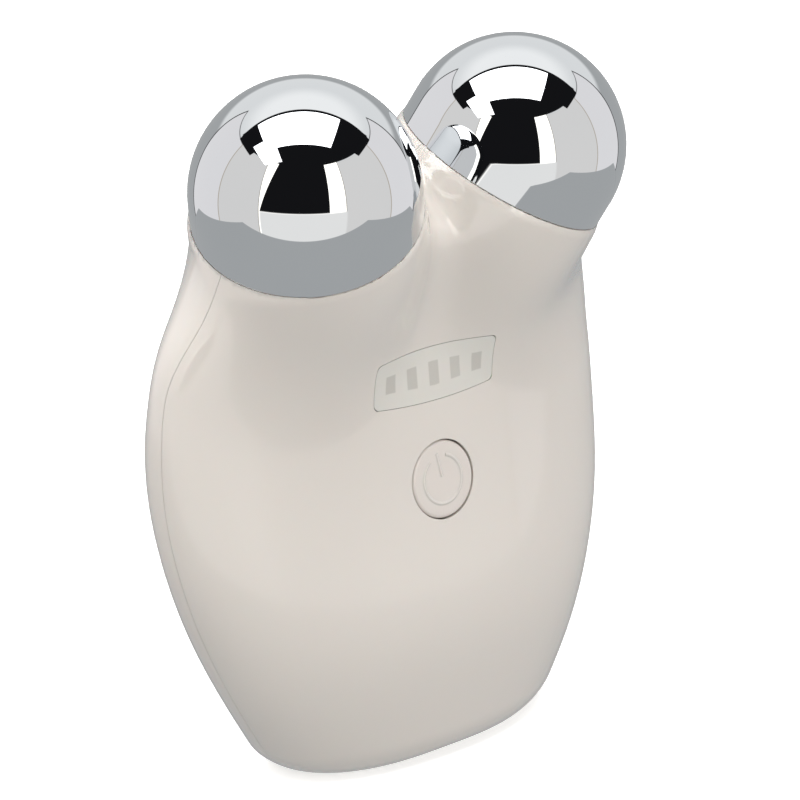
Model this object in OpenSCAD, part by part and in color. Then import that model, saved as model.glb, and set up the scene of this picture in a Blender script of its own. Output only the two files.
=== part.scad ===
// Facial toning device: an ivory two-armed body with two chrome electrode domes.
// Millimetres. The origin is the middle of the base, +Z is up and -Y is the front.

/* [Body] */
// Width of the body at its widest
body_w = 80.4; // [70:0.1:90]
// Depth of the body at its thickest
body_d = 27.4; // [25:0.1:34]
// How far the body's middle line bows back from the base
body_bow = 5; // [2:0.1:8]
// Height at which the two arms start to part
waist_z = 58; // [54:0.5:62]
// Wall of both shells
wall = 2; // [1.6:0.1:2.4]
// Squareness of the body's sections, where 2 is an ellipse
section_power = 2.2; // [2:0.05:2.8]
// Inset of the base's rounded edge along X
base_edge_w = 5; // [3:0.5:9]
// Inset of the base's rounded edge along Y
base_edge_d = 4; // [3:0.5:6]
// Height of the base's rounded edge
base_edge_h = 4.5; // [3:0.5:8]
// Gap between parts that are assembled and stay put
fit_gap = 0.1; // [0.05:0.01:0.2]

/* [Electrode domes] */
// Diameter of a chrome dome
dome_d = 32; // [28:0.5:33]
// Distance between the two dome centres
dome_spacing = 38.2; // [36:0.1:42]
// Height of the dome centres above the base
dome_z = 85.8; // [82:0.1:92]
// Distance of the dome centres behind the base's middle
dome_y = -2.5; // [-5:0.1:0]
// Angle that each dome leans outwards
lean_out = 22; // [16:0.5:26]
// Angle that both domes lean forwards
lean_fwd = 20.4; // [15:0.5:25]
// Length of the dome's straight skirt
skirt_l = 3.7; // [3:0.1:5]
// Wall of a dome
dome_wall = 1.4; // [1:0.1:1.8]
// Length of the spigot that plugs a dome into its arm
spigot_l = 2.6; // [2:0.1:3.5]
// Thickness of the seal ring's section
seal_d = 0.9; // [0.7:0.05:1.1]

/* [LED window] */
// Width of the window
window_w = 22; // [18:0.5:26]
// Height of the window's two ends
window_end_h = 5.8; // [5:0.1:7]
// Height of the window at its middle
window_mid_h = 8.4; // [7:0.1:9]
// Radius of the window's corners
window_corner_r = 1; // [0.5:0.1:1.5]
// Height of the window's middle above the base
window_z = 57; // [54:0.5:59]
// Number of level lights
led_count = 5; // [3:1:5]
// Distance between level lights
led_pitch = 4; // [3.6:0.1:4.4]
// Length of a level light along the row
led_w = 1.8; // [1.4:0.1:2]
// Height of a level light
led_h = 3.4; // [2.4:0.1:3.6]
// Thickness of a level light
led_t = 0.8; // [0.6:0.1:1.2]

/* [Button] */
// Diameter of the button
button_d = 11.2; // [9:0.1:13]
// Height of the button's middle above the base
button_z = 41.8; // [38:0.1:45]
// Angle that the button and the circuit board lean back
face_lean = 10; // [8:0.5:12]
// Travel of the button
button_travel = 0.4; // [0.25:0.05:0.5]
// Running gap round the button
button_gap = 0.15; // [0.1:0.01:0.25]

/* [Circuit board] */
// Width of the circuit board
board_w = 46; // [42:0.5:48]
// Length of the circuit board
board_l = 49; // [47:0.5:51]
// Thickness of the circuit board
board_t = 1.6; // [1.2:0.1:1.8]
// Depth of the board's front behind the button's face
board_depth = 6.6; // [6.2:0.1:7.2]
// Distance from the button's middle down to the board's middle
board_drop = 2; // [1:0.1:3]
// Inset of the board screws from the board's edges
board_screw_inset = 3.6; // [3.2:0.1:5]

/* [Battery] */
// Width of the battery pouch
cell_w = 40; // [36:0.5:41]
// Height of the battery pouch
cell_l = 26; // [22:0.5:27]
// Thickness of the battery pouch
cell_t = 7.5; // [6:0.1:8]
// Thickness of the battery's tape pad
tape_t = 1; // [0.5:0.1:1.5]

/* [Charging socket] */
// Diameter of the socket's nose
socket_d = 6; // [5.4:0.1:6.6]
// Diameter of the socket's bore
socket_bore_d = 3.6; // [3.5:0.05:4]
// Diameter of the socket's centre pin
pin_d = 1.3; // [1:0.05:1.5]
// Length of the centre pin
pin_l = 7; // [6:0.1:8]
// Depth of the pin's tip inside the socket's mouth
pin_recess = 1; // [0.5:0.1:1.5]

/* [Screws and foot] */
// Diameter of the small screws
screw_d = 2; // [1.8:0.05:2.2]
// Diameter of the small screws' heads
screw_head_d = 3.8; // [3.4:0.1:4]
// Height of the small screws' heads
screw_head_h = 1.3; // [1.1:0.1:1.5]
// Outer diameter of the screw bosses
boss_d = 5; // [4.4:0.1:5.6]
// Width of the foot pad
foot_w = 28; // [20:0.5:30]
// Depth of the foot pad
foot_d = 12; // [10:0.5:13]
// Thickness of the foot pad
foot_t = 1; // [0.8:0.1:1.4]
// How far the foot pad stands below the shells
foot_proud = 0.3; // [0.2:0.05:0.4]

/* [Hidden] */
$fn = 48;

ring_steps = 56; // points round one section of the body
core_steps = 40; // points round one section of the hollow inside
rows = [11, 7];  // sections from the base's edge to the waist, and from there to a rim
core_rows = [9, 6]; // the same for the hollow, on other planes than the outside's
root_rows = [8, 5]; // the same for the depth to which bosses and ledges sink in
edge_steps = 3;  // sections round the base's edge
boss_sides = 20;   // facets round a boss that is part of a shell
hole_sides = 16;   // facets round a small hole in a shell
opening_sides = 36; // facets round the button's opening and the arms' seats
arc_sides = 130;    // facets of the whole circle that a long edge of the window lies on
// The first and last point of a section on each shell: the seam runs one point in front of
// the widest line
FRONT = [ring_steps / 2 + 1, ring_steps - 1];
REAR = [-1, ring_steps / 2 + 1];
LEFT = -1;
RIGHT = 1;

// The body's sections as shares of its main sizes: height, width, depth and bow
profile = [
    [0.00, 0.585, 0.88, -0.05],
    [0.17, 0.75, 0.925, -0.10],
    [0.345, 0.87, 0.975, 0.12],
    [0.55, 0.96, 1.00, 0.53],
    [0.76, 1.00, 1.00, 0.98],
    [1.00, 0.967, 0.91, 1.09]
];
arm_lead = -4;       // straight run of an arm below its rim: negative draws a neck in
arm_root = 33;       // pull of the waist on an arm's middle line
arm_neck = -1.6;     // how the arm narrows just under its rim
lip = 0.25;          // how far the arm's rim stands outside the dome's skirt
ledge_t = 1.5;       // ledge across an arm, under the dome's carrier
ledge_w = 2;         // how far the ledge stands in from the spigot
shell_root = 0.6;    // depth to which ribs and bosses sink into a shell's wall
reach = 120;         // long enough to pass right through the body

dome_r = dome_d / 2;
rim_r = dome_r + lip;
seat_r = rim_r - wall + 0.15;
spigot_r = seat_r - fit_gap;
screw_r = screw_d / 2;
head_r = screw_head_d / 2;
clear_r = screw_r + 0.15;
pilot_r = screw_r + 0.05;
dome_boss_r = screw_r + 2;

// ---- Shape of the body ----

// Cubic from p to q, leaving p with slope u and meeting q with slope v
function cubic(p, u, q, v, t) =
    (2 * t * t * t - 3 * t * t + 1) * p + (t * t * t - 2 * t * t + t) * u
    + (3 * t * t - 2 * t * t * t) * q + (t * t * t - t * t) * v;

// Slope of one profile column at its row i
function rise(i, column) =
    let (lo = max(i - 1, 0), hi = min(i + 1, len(profile) - 1))
    (profile[hi][column] - profile[lo][column]) / (profile[hi][0] - profile[lo][0]);

// Smooth value of one profile column at share s of the waist's height
function share(column, s) =
    let (
        i = max([for (k = [0 : len(profile) - 2]) if (k == 0 || profile[k][0] <= s) k]),
        step = profile[i + 1][0] - profile[i][0]
    )
    cubic(profile[i][column], rise(i, column) * step,
          profile[i + 1][column], rise(i + 1, column) * step, (s - profile[i][0]) / step);

function half_w(z) = body_w / 2 * share(1, z / waist_z);
function half_d(z) = body_d / 2 * share(2, z / waist_z);
function spine(z) = body_bow * share(3, z / waist_z);
function front_y(z) = spine(z) - half_d(z);
function end_slope(column) = rise(len(profile) - 1, column) / waist_z;

function signed_pow(v, p) = sign(v) * pow(abs(v), p);

// Points of one section, from its middle, half sizes, squareness and directions
function section(mid, w, d, power, across, back, steps) = [
    for (k = [0 : steps - 1])
        let (g = 360 * k / steps)
        mid + w * signed_pow(cos(g), 2 / power) * across
            + d * signed_pow(sin(g), 2 / power) * back
];

// A level section at height z, drawn in by inset and by edge, a share of the base's rounding
function level(z, inset, steps, edge = 0) = section(
    [0, spine(z), z], half_w(z) - inset - base_edge_w * edge,
    half_d(z) - inset - base_edge_d * edge, section_power, [1, 0, 0], [0, 1, 0], steps);

// The sections from the base's flat to the waist
function body_rings(inset, steps, count) =
    let (z0 = foot_proud + inset, z1 = z0 + base_edge_h)
    concat(
        [for (k = [0 : edge_steps])
            let (g = 90 * k / edge_steps)
            level(z0 + base_edge_h * (1 - cos(g)), inset, steps, 1 - sin(g))],
        [for (k = [1 : count]) level(z1 + (waist_z - z1) * k / count, inset, steps)]
    );

function dome_mid(side) = [side * dome_spacing / 2, dome_y, dome_z];

// Direction square to an arm's section, at share s of the full lean
function out_of(side, s = 1) = [
    side * sin(lean_out * s) * cos(lean_fwd * s), -sin(lean_fwd * s),
    cos(lean_out * s) * cos(lean_fwd * s)
];
function across(side, s = 1) = [cos(lean_out * s), 0, -side * sin(lean_out * s)];
function rim_mid(side) = dome_mid(side) - (skirt_l + fit_gap) * out_of(side);

// An arm's middle line and half sizes, from its rim at t = 0 to the waist at t = 1
function arm_mid(side, t) = cubic(
    rim_mid(side), -arm_lead * out_of(side), [0, spine(waist_z), waist_z],
    -arm_root * [0, body_bow * end_slope(3), 1], t);
function arm_w(t) = cubic(
    rim_r, arm_neck, half_w(waist_z), -arm_root * body_w / 2 * end_slope(1), t);
function arm_d(t) = cubic(
    rim_r, 0, half_d(waist_z), -arm_root * body_d / 2 * end_slope(2), t);

function arm_ring(side, inset, t, steps) =
    let (s = 1 - t * t * (3 - 2 * t))
    section(arm_mid(side, t), arm_w(t) - inset, arm_d(t) - inset,
            section_power + (2 - section_power) * s,
            across(side, s), cross(out_of(side, s), across(side, s)), steps);

// The sections from the waist up to a rim; an inset arm runs on past the rim
function arm_rings(side, inset, steps, count) = concat(
    [for (k = [0 : count]) arm_ring(side, inset, 1 - k / count, steps)],
    inset > 0 ? [section(rim_mid(side) + wall * out_of(side), rim_r - inset, rim_r - inset, 2,
                         across(side), cross(out_of(side), across(side)), steps)] : []
);

// A closed solid through a stack of sections, from the lowest up. Each quad between two
// sections is cut along one diagonal; flip cuts the quads that close the sections along the
// other one, so that two parts of one section meet on the same triangles
module skin(rings, flip = false) {
    n = len(rings[0]);
    last = len(rings) - 1;
    polyhedron(
        points = [for (ring = rings) each ring],
        faces = [
            [for (k = [0 : n - 1]) k],
            [for (k = [n - 1 : -1 : 0]) last * n + k],
            for (r = [0 : last - 1], k = [0 : n - 1])
                let (a = r * n + k, b = a + n, d = r * n + (k + 1) % n, c = d + n)
                each flip && k == n - 1 ? [[a, b, d], [b, c, d]] : [[a, b, c], [a, c, d]]
        ],
        convexity = 6
    );
}

// The same stretch of every section
function stretch(rings, part) =
    [for (ring = rings) [for (k = [part[0] : part[1]]) ring[(k + len(ring)) % len(ring)]]];

// The outline of both shells together or of one part of it, or what lies inset from it
module form(inset = 0, part = [0, ring_steps - 1], steps = ring_steps, rows = rows) {
    skin(stretch(body_rings(inset, steps, rows[0]), part), part == REAR);
    for (side = [LEFT, RIGHT])
        intersection() {
            skin(stretch(arm_rings(side, inset, steps, rows[1]), part), part == REAR);
            translate([side * reach / 2, 0, reach / 2]) cube(reach, center = true);
        }
}

// The hollow inside both shells
module hollow() {
    form(wall, [0, core_steps - 1], core_steps, core_rows);
}

// Many facets kept as one closed skin at their own size
module one_skin() {
    resize([0, 0, 0]) children();
}

// ---- Places ----

// Middle of a dome, with +Z out along the arm
module at_dome(side) {
    translate(dome_mid(side)) rotate([lean_fwd, side * lean_out, 0]) children();
}

// Middle of the button's face, with +Z out of the face and +Y up along it
module at_face() {
    translate([0, front_y(button_z), button_z]) rotate([90 - face_lean, 0, 0]) children();
}

// A point given on the face's own axes, in the part's frame
function from_face(x, v, out) = [
    x, front_y(button_z) + v * sin(face_lean) - out * cos(face_lean),
    button_z + v * cos(face_lean) + out * sin(face_lean)
];

// A point given on a dome's own axes, in the part's frame
function from_dome(side, x, y, out) = dome_mid(side) + x * across(side)
    + y * cross(out_of(side), across(side)) + out * out_of(side);

board_back = -board_depth - board_t;
board_top = -board_drop + board_l / 2;
board_foot = -board_drop - board_l / 2;
cell_drop = 6.6;     // room above the battery for the upper board screws
cell_v = board_top - cell_drop - cell_l / 2;
usual_room = 16.4;   // room that the usual tall pieces need under the battery
low_room = cell_v - cell_l / 2 - board_foot;
low_share = min(1, low_room / usual_room); // smaller pieces are fitted to a shorter board
low_v = cell_v - cell_l / 2 - 5.9 * low_share; // row of tall pieces on the board's back
window_v = (window_z - button_z) / cos(face_lean);
// How far the window's outer face stands in front of the button's face
window_out = (front_y(button_z) + window_v * sin(face_lean) - front_y(window_z)) * cos(face_lean);

// The front of the board at x and v, with +Z towards the button
module on_front(x, v) {
    at_face() translate([x, v, -board_depth]) children();
}

// The back of the board at x and v, with +Z away from the button
module on_back(x, v) {
    at_face() translate([x, v, board_back]) rotate([180, 0, 0]) children();
}

function board_screws_at() = [
    for (sx = [-1, 1], top = [board_foot + board_screw_inset, board_top - board_screw_inset])
        [sx * (board_w / 2 - board_screw_inset), top]
];

// Case screws as [x, z]
case_low = [board_w / 2 + boss_d / 2 + 1, 17];
case_high = [body_w / 2 - 9.2, 50];
function case_screws_at() = [
    for (sx = [-1, 1], p = [case_low, case_high]) [sx * p[0], p[1]]
];
case_seat = 3;       // depth of a case screw's seat behind the body's middle line
plug_r = head_r + 0.5;
plug_foot = case_seat + screw_head_h + 0.5;

// A case screw's axis at the body's middle line, with +Z towards the back
module at_case_screw(p) {
    translate([p[0], spine(p[1]), p[1]]) rotate([-90, 0, 0]) children();
}

// ---- Shells ----

// Outline of the window, grown by extra all round
module window_outline(extra = 0) {
    sag = (window_mid_h - window_end_h) / 2;
    arc_r = (pow(window_w / 2, 2) + sag * sag) / (2 * sag);
    offset(r = window_corner_r + extra)
        offset(delta = -window_corner_r)
            intersection() {
                square([window_w, window_mid_h], center = true);
                translate([0, window_mid_h / 2 - arc_r]) circle(arc_r, $fn = arc_sides);
                translate([0, arc_r - window_mid_h / 2]) circle(arc_r, $fn = arc_sides);
            }
}

// The window's outline as a bar through the front wall
module window_bar(extra = 0) {
    at_face() translate([0, window_v, -board_depth + led_t])
        linear_extrude(height = 2 * board_depth) window_outline(extra);
}

flange_t = 0.9;      // flange inside the wall, on the window and on the button
guide_l = 2.2;       // depth of the sleeve that guides the button's flange
button_r = button_d / 2;
button_flange_r = button_r + 1;
flange_out = -wall - 0.3;

module front_bosses() {
    guide_r = button_flange_r + button_gap;
    for (p = board_screws_at())
        on_front(p[0], p[1]) cylinder(r = boss_d / 2, h = 2 * board_depth, $fn = boss_sides);
    for (p = case_screws_at())
        at_case_screw(p) mirror([0, 0, 1]) cylinder(r = boss_d / 2, h = body_d, $fn = boss_sides);
    at_face() translate([0, 0, -wall - guide_l]) difference() {
        cylinder(r = guide_r + 1, h = guide_l + wall, $fn = opening_sides);
        translate([0, 0, -1]) cylinder(r = guide_r, h = guide_l + 1, $fn = opening_sides);
    }
}

// Ledges across the arms that carry the dome carriers
module arm_ledges() {
    for (side = [LEFT, RIGHT])
        at_dome(side) translate([0, 0, ledge_top - ledge_t]) difference() {
            cylinder(r = rim_r + 4, h = ledge_t + 1, $fn = opening_sides);
            translate([0, 0, -1]) cylinder(r = spigot_r - ledge_w, h = ledge_t + 3, $fn = opening_sides);
        }
}

// The round seats for the domes' spigots, down to the ledges
module arm_seats() {
    for (side = [LEFT, RIGHT])
        at_dome(side) translate([0, 0, ledge_top])
            cylinder(r = seat_r, h = dome_r, $fn = opening_sides);
}

carrier_t = 1.2;
spigot_foot = -skirt_l - spigot_l;
carrier_top = spigot_foot - fit_gap;
ledge_top = carrier_top - carrier_t - fit_gap;

// What both shells are cut by: the foot pockets and the socket's hole
module base_cuts() {
    for (side = [LEFT, RIGHT])
        translate([0, 0, -1]) linear_extrude(height = foot_t + fit_gap + 1) foot_outline(side, fit_gap);
    translate([0, 0, -1]) cylinder(r = socket_d / 2 + fit_gap, h = wall + foot_proud + 2, $fn = boss_sides);
}

// Cheeks that hold the socket's body, one on each shell
module socket_cheeks() {
    translate([0, 0, socket_body_z + socket_body_h / 2]) difference() {
        cube([socket_body_w - 2, reach, socket_body_h - 3], center = true);
        cube([socket_body_w, socket_body_d + 2 * fit_gap, socket_body_h], center = true);
    }
}

module front_shell() color("ivory") one_skin() difference() {
    union() {
        difference() {
            form(0, FRONT);
            hollow();
        }
        intersection() {
            union() {
                front_bosses();
                arm_ledges();
                socket_cheeks();
            }
            form(shell_root, rows = root_rows);
            form(0, FRONT);
        }
    }
    window_bar(fit_gap);
    at_face() translate([0, 0, -wall - 1])
        cylinder(r = button_r + button_gap, h = 2 * wall + 1, $fn = opening_sides);
    for (p = board_screws_at())
        on_front(p[0], p[1]) translate([0, 0, -1])
            cylinder(r = pilot_r, h = board_screw_grip + 1.3, $fn = hole_sides);
    for (p = case_screws_at())
        at_case_screw(p) mirror([0, 0, 1]) translate([0, 0, -case_seat])
            cylinder(r = pilot_r, h = case_seat + case_screw_grip + 0.5, $fn = hole_sides);
    base_cuts();
    arm_seats();
}

module rear_shell() color("ivory") one_skin() difference() {
    union() {
        difference() {
            form(0, REAR);
            hollow();
        }
        intersection() {
            union() {
                arm_ledges();
                socket_cheeks();
                cell_ribs();
                for (p = case_screws_at())
                    at_case_screw(p) translate([0, 0, -case_seat])
                        cylinder(r = plug_r + fit_gap + 1, h = body_d, $fn = boss_sides);
            }
            form(shell_root, rows = root_rows);
            form(0, REAR);
        }
    }
    for (p = case_screws_at()) at_case_screw(p) {
        translate([0, 0, -case_seat]) cylinder(r = clear_r, h = body_d, $fn = hole_sides);
        translate([0, 0, case_seat]) cylinder(r = plug_r + fit_gap, h = body_d, $fn = boss_sides);
    }
    base_cuts();
    arm_seats();
}

// Ribs on the rear shell that stop the battery
module cell_ribs() {
    for (x = [-cell_w / 3, 0, cell_w / 3])
        on_back(x, cell_v) translate([-0.6, -cell_l / 2 + 2, tape_t + cell_t + 0.3])
            cube([1.2, cell_l - 4, body_d]);
}

// ---- Electrode domes ----

// A chrome dome with its skirt, spigot and screw boss, turned about the arm's axis
module electrode_dome(side) color("silver") at_dome(side) difference() {
    rotate_extrude() dome_profile();
    translate([0, 0, -skirt_l + 0.5]) cylinder(r = pilot_r, h = dome_screw_grip + 2);
}

module dome_profile() {
    inner_r = dome_r - dome_wall;
    spigot_in = spigot_r - dome_wall;
    intersection() {
        difference() {
            union() {
                circle(dome_r, $fn = 96);
                translate([0, -skirt_l]) square([dome_r, skirt_l]);
            }
            difference() {
                union() {
                    circle(inner_r, $fn = 96);
                    translate([0, -reach]) square([spigot_in, reach]);
                }
                translate([0, boss_foot]) square([dome_boss_r, reach]);
            }
        }
        translate([0, -skirt_l]) square([reach, reach]);
    }
    difference() {
        translate([spigot_in, spigot_foot]) square([dome_wall, spigot_l + 0.5]);
        translate([spigot_r, seal_out]) square([2 * (seal_d + 0.1 - fit_gap), seal_d + 0.2], center = true);
    }
}

boss_foot = -skirt_l + 1.5;
dome_screw_grip = 5;
seal_out = -skirt_l - spigot_l / 2;

module seal_ring(side) color("dimgray") at_dome(side) translate([0, 0, seal_out])
    rotate_extrude() translate([spigot_r + fit_gap - seal_d / 2 - 0.03, 0]) circle(seal_d / 2);

// Insulating disc with a post that meets the dome's boss and a collar through the ledge
module dome_carrier(side) color("whitesmoke") at_dome(side) difference() {
    union() {
        translate([0, 0, carrier_top - carrier_t]) cylinder(r = spigot_r, h = carrier_t);
        translate([0, 0, carrier_top - 0.5]) cylinder(r = dome_boss_r, h = boss_foot - carrier_top + 0.4);
        translate([0, 0, collar_foot]) cylinder(r = collar_r, h = carrier_top - collar_foot - 0.5);
    }
    translate([0, 0, collar_foot - 1]) cylinder(r = collar_r - 1.2, h = carrier_top - carrier_t - collar_foot + 1);
    translate([0, 0, collar_foot]) cylinder(r = clear_r, h = reach);
}

collar_r = spigot_r - ledge_w - 0.2;
collar_foot = ledge_top - ledge_t - 0.6;
tag_t = 0.4;
tag_out = carrier_top - carrier_t - tag_t;
tag_tail = 8;

// Ring terminal under the dome screw, with a tail for the lead
module contact_tag(side) color("gold") at_dome(side) translate([0, 0, tag_out]) difference() {
    union() {
        cylinder(r = head_r + 0.9, h = tag_t);
        translate([-1, 0, 0]) cube([2, tag_tail, tag_t]);
    }
    translate([0, 0, -1]) cylinder(r = clear_r, h = tag_t + 2);
}

module dome_screw(side) color("lightgray") at_dome(side) translate([0, 0, tag_out])
    rotate([180, 0, 0]) screw(boss_foot + dome_screw_grip - tag_out);

// A pan-head screw: head up from z = 0, shank down
module screw(l) {
    difference() {
        cylinder(r = head_r, h = screw_head_h);
        for (g = [0, 90])
            rotate(g) translate([0, 0, screw_head_h]) cube([head_r * 1.3, 0.5, screw_head_h], center = true);
    }
    translate([0, 0, -l]) cylinder(r = screw_r, h = l + 0.2);
}

// ---- Leads ----

lead_r = 0.6;
lead_sides = 8;

function unit(v) = v / norm(v);

// A point on a smooth curve through a list of points, at share t
function on_curve(path, t) =
    let (
        n = len(path) - 1,
        i = min(floor(t * n), n - 1),
        f = t * n - i,
        u = (path[i + 1] - path[max(i - 1, 0)]) / (i > 0 ? 2 : 1),
        v = (path[min(i + 2, n)] - path[i]) / (i + 2 > n ? 1 : 2)
    )
    cubic(path[i], u, path[i + 1], v, f);

// A round lead swept along a smooth curve, as one closed tube
module lead(path, steps = 14) {
    mids = [for (k = [0 : steps]) on_curve(path, k / steps)];
    skin([for (k = [0 : steps])
        let (
            ahead_of = unit(mids[min(k + 1, steps)] - mids[max(k - 1, 0)]),
            first = unit(cross([0, 1, 0.02], ahead_of)),
            second = cross(ahead_of, first)
        )
        [for (g = [0 : lead_sides - 1])
            mids[k] + lead_r * (cos(360 * g / lead_sides) * first + sin(360 * g / lead_sides) * second)]
    ]);
}

module electrode_lead(side) color("white") {
    start = from_dome(side, 0, tag_tail - 1.2, tag_out - fit_gap);
    finish = from_face(side * 13, board_top - 1.4, board_back - 2 * fit_gap);
    lead([
        start, start - 5 * out_of(side),
        (start + finish) / 2 + [-side * 0.5, 2.5, 0],
        finish + [0, 3.2, 1.5], finish
    ]);
}

// ---- Window and lights ----

module led_window() color("whitesmoke") one_skin() difference() {
    union() {
        intersection() {
            form();
            window_bar();
        }
        intersection() {
            form(wall + fit_gap);
            window_bar(1);
        }
    }
    form(wall + flange_t);
}

mask_l = board_depth + window_out - wall - flange_t - 0.5;

module light_mask() color("gainsboro") on_front(0, window_v) difference() {
    translate([0, 0, mask_l / 2]) cube([led_count * led_pitch + 1, led_h + 2, mask_l], center = true);
    for (i = [0 : led_count - 1])
        translate([led_x(i), 0, 0]) cube([led_pitch - 1, led_h + 0.6, 3 * mask_l], center = true);
}

function led_x(i) = (i - (led_count - 1) / 2) * led_pitch;

module leds() color("khaki") for (i = [0 : led_count - 1])
    on_front(led_x(i), window_v) translate([0, 0, led_t / 2]) cube([led_w, led_h, led_t], center = true);

// ---- Button and switch ----

switch_w = 6;
switch_h = 2;
plunger_r = 1.7;
plunger_proud = 0.8;
switch_floor = 0.4;

module power_button() color("ivory") at_face() {
    stem_foot = -board_depth + switch_h + plunger_proud;
    difference() {
        translate([0, 0, flange_out]) cylinder(r = button_r, h = -flange_out - 0.1);
        translate([0, 0, flange_out - 1]) cylinder(r = button_r - 1.2, h = wall - 0.2);
    }
    translate([0, 0, flange_out - flange_t]) cylinder(r = button_flange_r, h = flange_t);
    translate([0, 0, stem_foot]) cylinder(r = 1.4, h = flange_out - flange_t - stem_foot + 0.2);
    translate([0, 0, -0.2]) power_mark();
}

mark_r = 3.5;
mark_line = 0.6;
mark_gap = 50;
mark_turn = 10;
mark_h = 0.3;

// The raised power mark: an open ring and an upright bar
module power_mark() rotate(mark_turn) {
    rotate(90 + mark_gap / 2) rotate_extrude(angle = 360 - mark_gap)
        translate([mark_r - mark_line / 2, 0]) square([mark_line, mark_h]);
    translate([-mark_line / 2, 0.4, 0]) cube([mark_line, mark_r, mark_h]);
}

module switch_body() color("dimgray") on_front(0, 0) difference() {
    translate([0, 0, switch_h / 2]) cube([switch_w, switch_w, switch_h], center = true);
    translate([0, 0, switch_floor]) cylinder(r = plunger_r + 0.1, h = switch_h);
}

module switch_plunger() color("black") on_front(0, 0) {
    foot = switch_floor + button_travel + 0.05;
    translate([0, 0, foot]) cylinder(r = plunger_r, h = switch_h + plunger_proud - foot);
}

// ---- Board and what it carries ----

board_chamfer = 2;
board_screw_grip = 2.6;

module main_board() color("seagreen") on_front(0, -board_drop) mirror([0, 0, 1]) difference() {
    linear_extrude(height = board_t) chamfered(board_w, board_l, board_chamfer);
    for (p = board_screws_at())
        translate([p[0], p[1] + board_drop, -1]) cylinder(r = clear_r, h = board_t + 2);
}

module chamfered(w, l, c) polygon([
    for (q = [[1, 1], [-1, 1], [-1, -1], [1, -1]])
        let (x = q[0] * w / 2, y = q[1] * l / 2)
        each (q[0] * q[1] > 0
            ? [[x, y - q[1] * c], [x - q[0] * c, y]]
            : [[x - q[0] * c, y], [x, y - q[1] * c]])
]);

module board_screws() color("lightgray") for (p = board_screws_at())
    on_back(p[0], p[1]) screw(board_t + board_screw_grip);

chip_x = 9;
chip_v = board_foot + 9.5;
chip_h = 1.2;
leg_l = 1;
leg_t = 0.45;        // width of a leg as a share of the legs' spacing

module microcontroller() color("black") on_front(-chip_x, chip_v) chip(7, 7, 8);

module charge_chip() color("black") on_front(chip_x, chip_v) chip(5, 4, 4);

// A chip with legs down two sides
module chip(w, l, legs) {
    translate([0, 0, chip_h / 2 + 0.1]) cube([w, l, chip_h], center = true);
    pitch = (l - 0.6) / (legs - 1);
    for (sx = [-1, 1], i = [0 : legs - 1])
        translate([sx * (w / 2 + 0.4 * leg_l), (i - (legs - 1) / 2) * pitch, chip_h / 4])
            cube([leg_l, pitch * leg_t, chip_h / 2], center = true);
}

resistor = [0.8, 1.6, 0.5];

module chip_resistors() color("darkslategray") {
    for (i = [0 : led_count - 1])
        on_front(led_x(i), window_v - 6) translate([0, 0, resistor[2] / 2]) cube(resistor, center = true);
    for (x = [-16, 0, 16], v = [board_foot + 13.5, board_foot + 6.5])
        on_front(x, v) rotate(90) translate([0, 0, resistor[2] / 2]) cube(resistor, center = true);
}

transformer_x = 13;
transformer_h = 8;
core_w = 12;
core_l = 5 * low_share;
core_slot_w = 2.8;   // each of the two windows through the core
core_slot_x = 3.4;
winding_w = 9.2;
winding_l = 9 * low_share;
winding_h = transformer_h - 3.4;

module transformer_core() color("darkslategray") on_back(transformer_x, low_v) difference() {
    translate([0, 0, transformer_h / 2]) cube([core_w, core_l, transformer_h], center = true);
    for (sx = [-1, 1])
        translate([sx * core_slot_x, 0, transformer_h / 2])
            cube([core_slot_w, core_l + 1, transformer_h - 3], center = true);
}

module transformer_winding() color("peru")
    on_back(transformer_x, low_v) translate([0, 0, transformer_h / 2]) difference() {
        cube([winding_w, winding_l, winding_h], center = true);
        cube([4.4, core_l + 0.4, transformer_h], center = true);
        for (sx = [-1, 1])
            translate([sx * core_w / 2, 0, 0]) cube([core_slot_w, core_l + 0.4, transformer_h], center = true);
    }

capacitor_r = 2.5 * low_share;
capacitor_h = 7;

module capacitors() color("slategray") for (x = [-1.4, 4])
    on_back(x, low_v - 1) cylinder(r = capacitor_r, h = capacitor_h);

buzzer_x = -15.5;
buzzer_r = 4.5 * low_share;
buzzer_h = 4.2;
buzzer_hole_r = 0.9;

module buzzer() color("black") on_back(buzzer_x, low_v) difference() {
    cylinder(r = buzzer_r, h = buzzer_h);
    translate([0, 0, buzzer_h - 2.2]) cylinder(r = buzzer_hole_r, h = 3);
}

// ---- Battery ----

module battery_tape() color("white") on_back(0, cell_v)
    translate([0, 0, tape_t / 2]) cube([cell_w - 6, cell_l - 6, tape_t], center = true);

module battery_cell() color("silver") on_back(0, cell_v) translate([0, 0, tape_t]) hull()
    for (sx = [-1, 1], sy = [-1, 1])
        translate([sx * (cell_w / 2 - 2), sy * (cell_l / 2 - 1), cell_t / 2]) {
            cylinder(r = 1, h = cell_t, center = true, $fn = 16);
            translate([sx * 1.4, 0, 0]) cylinder(r = 0.6, h = cell_t - 3, center = true, $fn = 16);
        }

header_x = -7;
header_v = board_foot + 4;
header = [7.4, 4.6, 4.5];
header_wall = 0.6;
header_floor = 0.75;
connector = [header[0] - 2 * header_wall - 0.2, header[1] - 2 * header_wall - 0.2, 6];
connector_foot = header_floor + 0.2;

module battery_header() color("ivory") on_back(header_x, header_v) difference() {
    translate([0, 0, header[2] / 2]) cube(header, center = true);
    translate([0, 0, header_floor + header[2] / 2])
        cube([header[0] - 2 * header_wall, header[1] - 2 * header_wall, header[2]], center = true);
}

module battery_plug() color("white") on_back(header_x, header_v)
    translate([0, 0, connector_foot + connector[2] / 2]) cube(connector, center = true);

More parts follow.
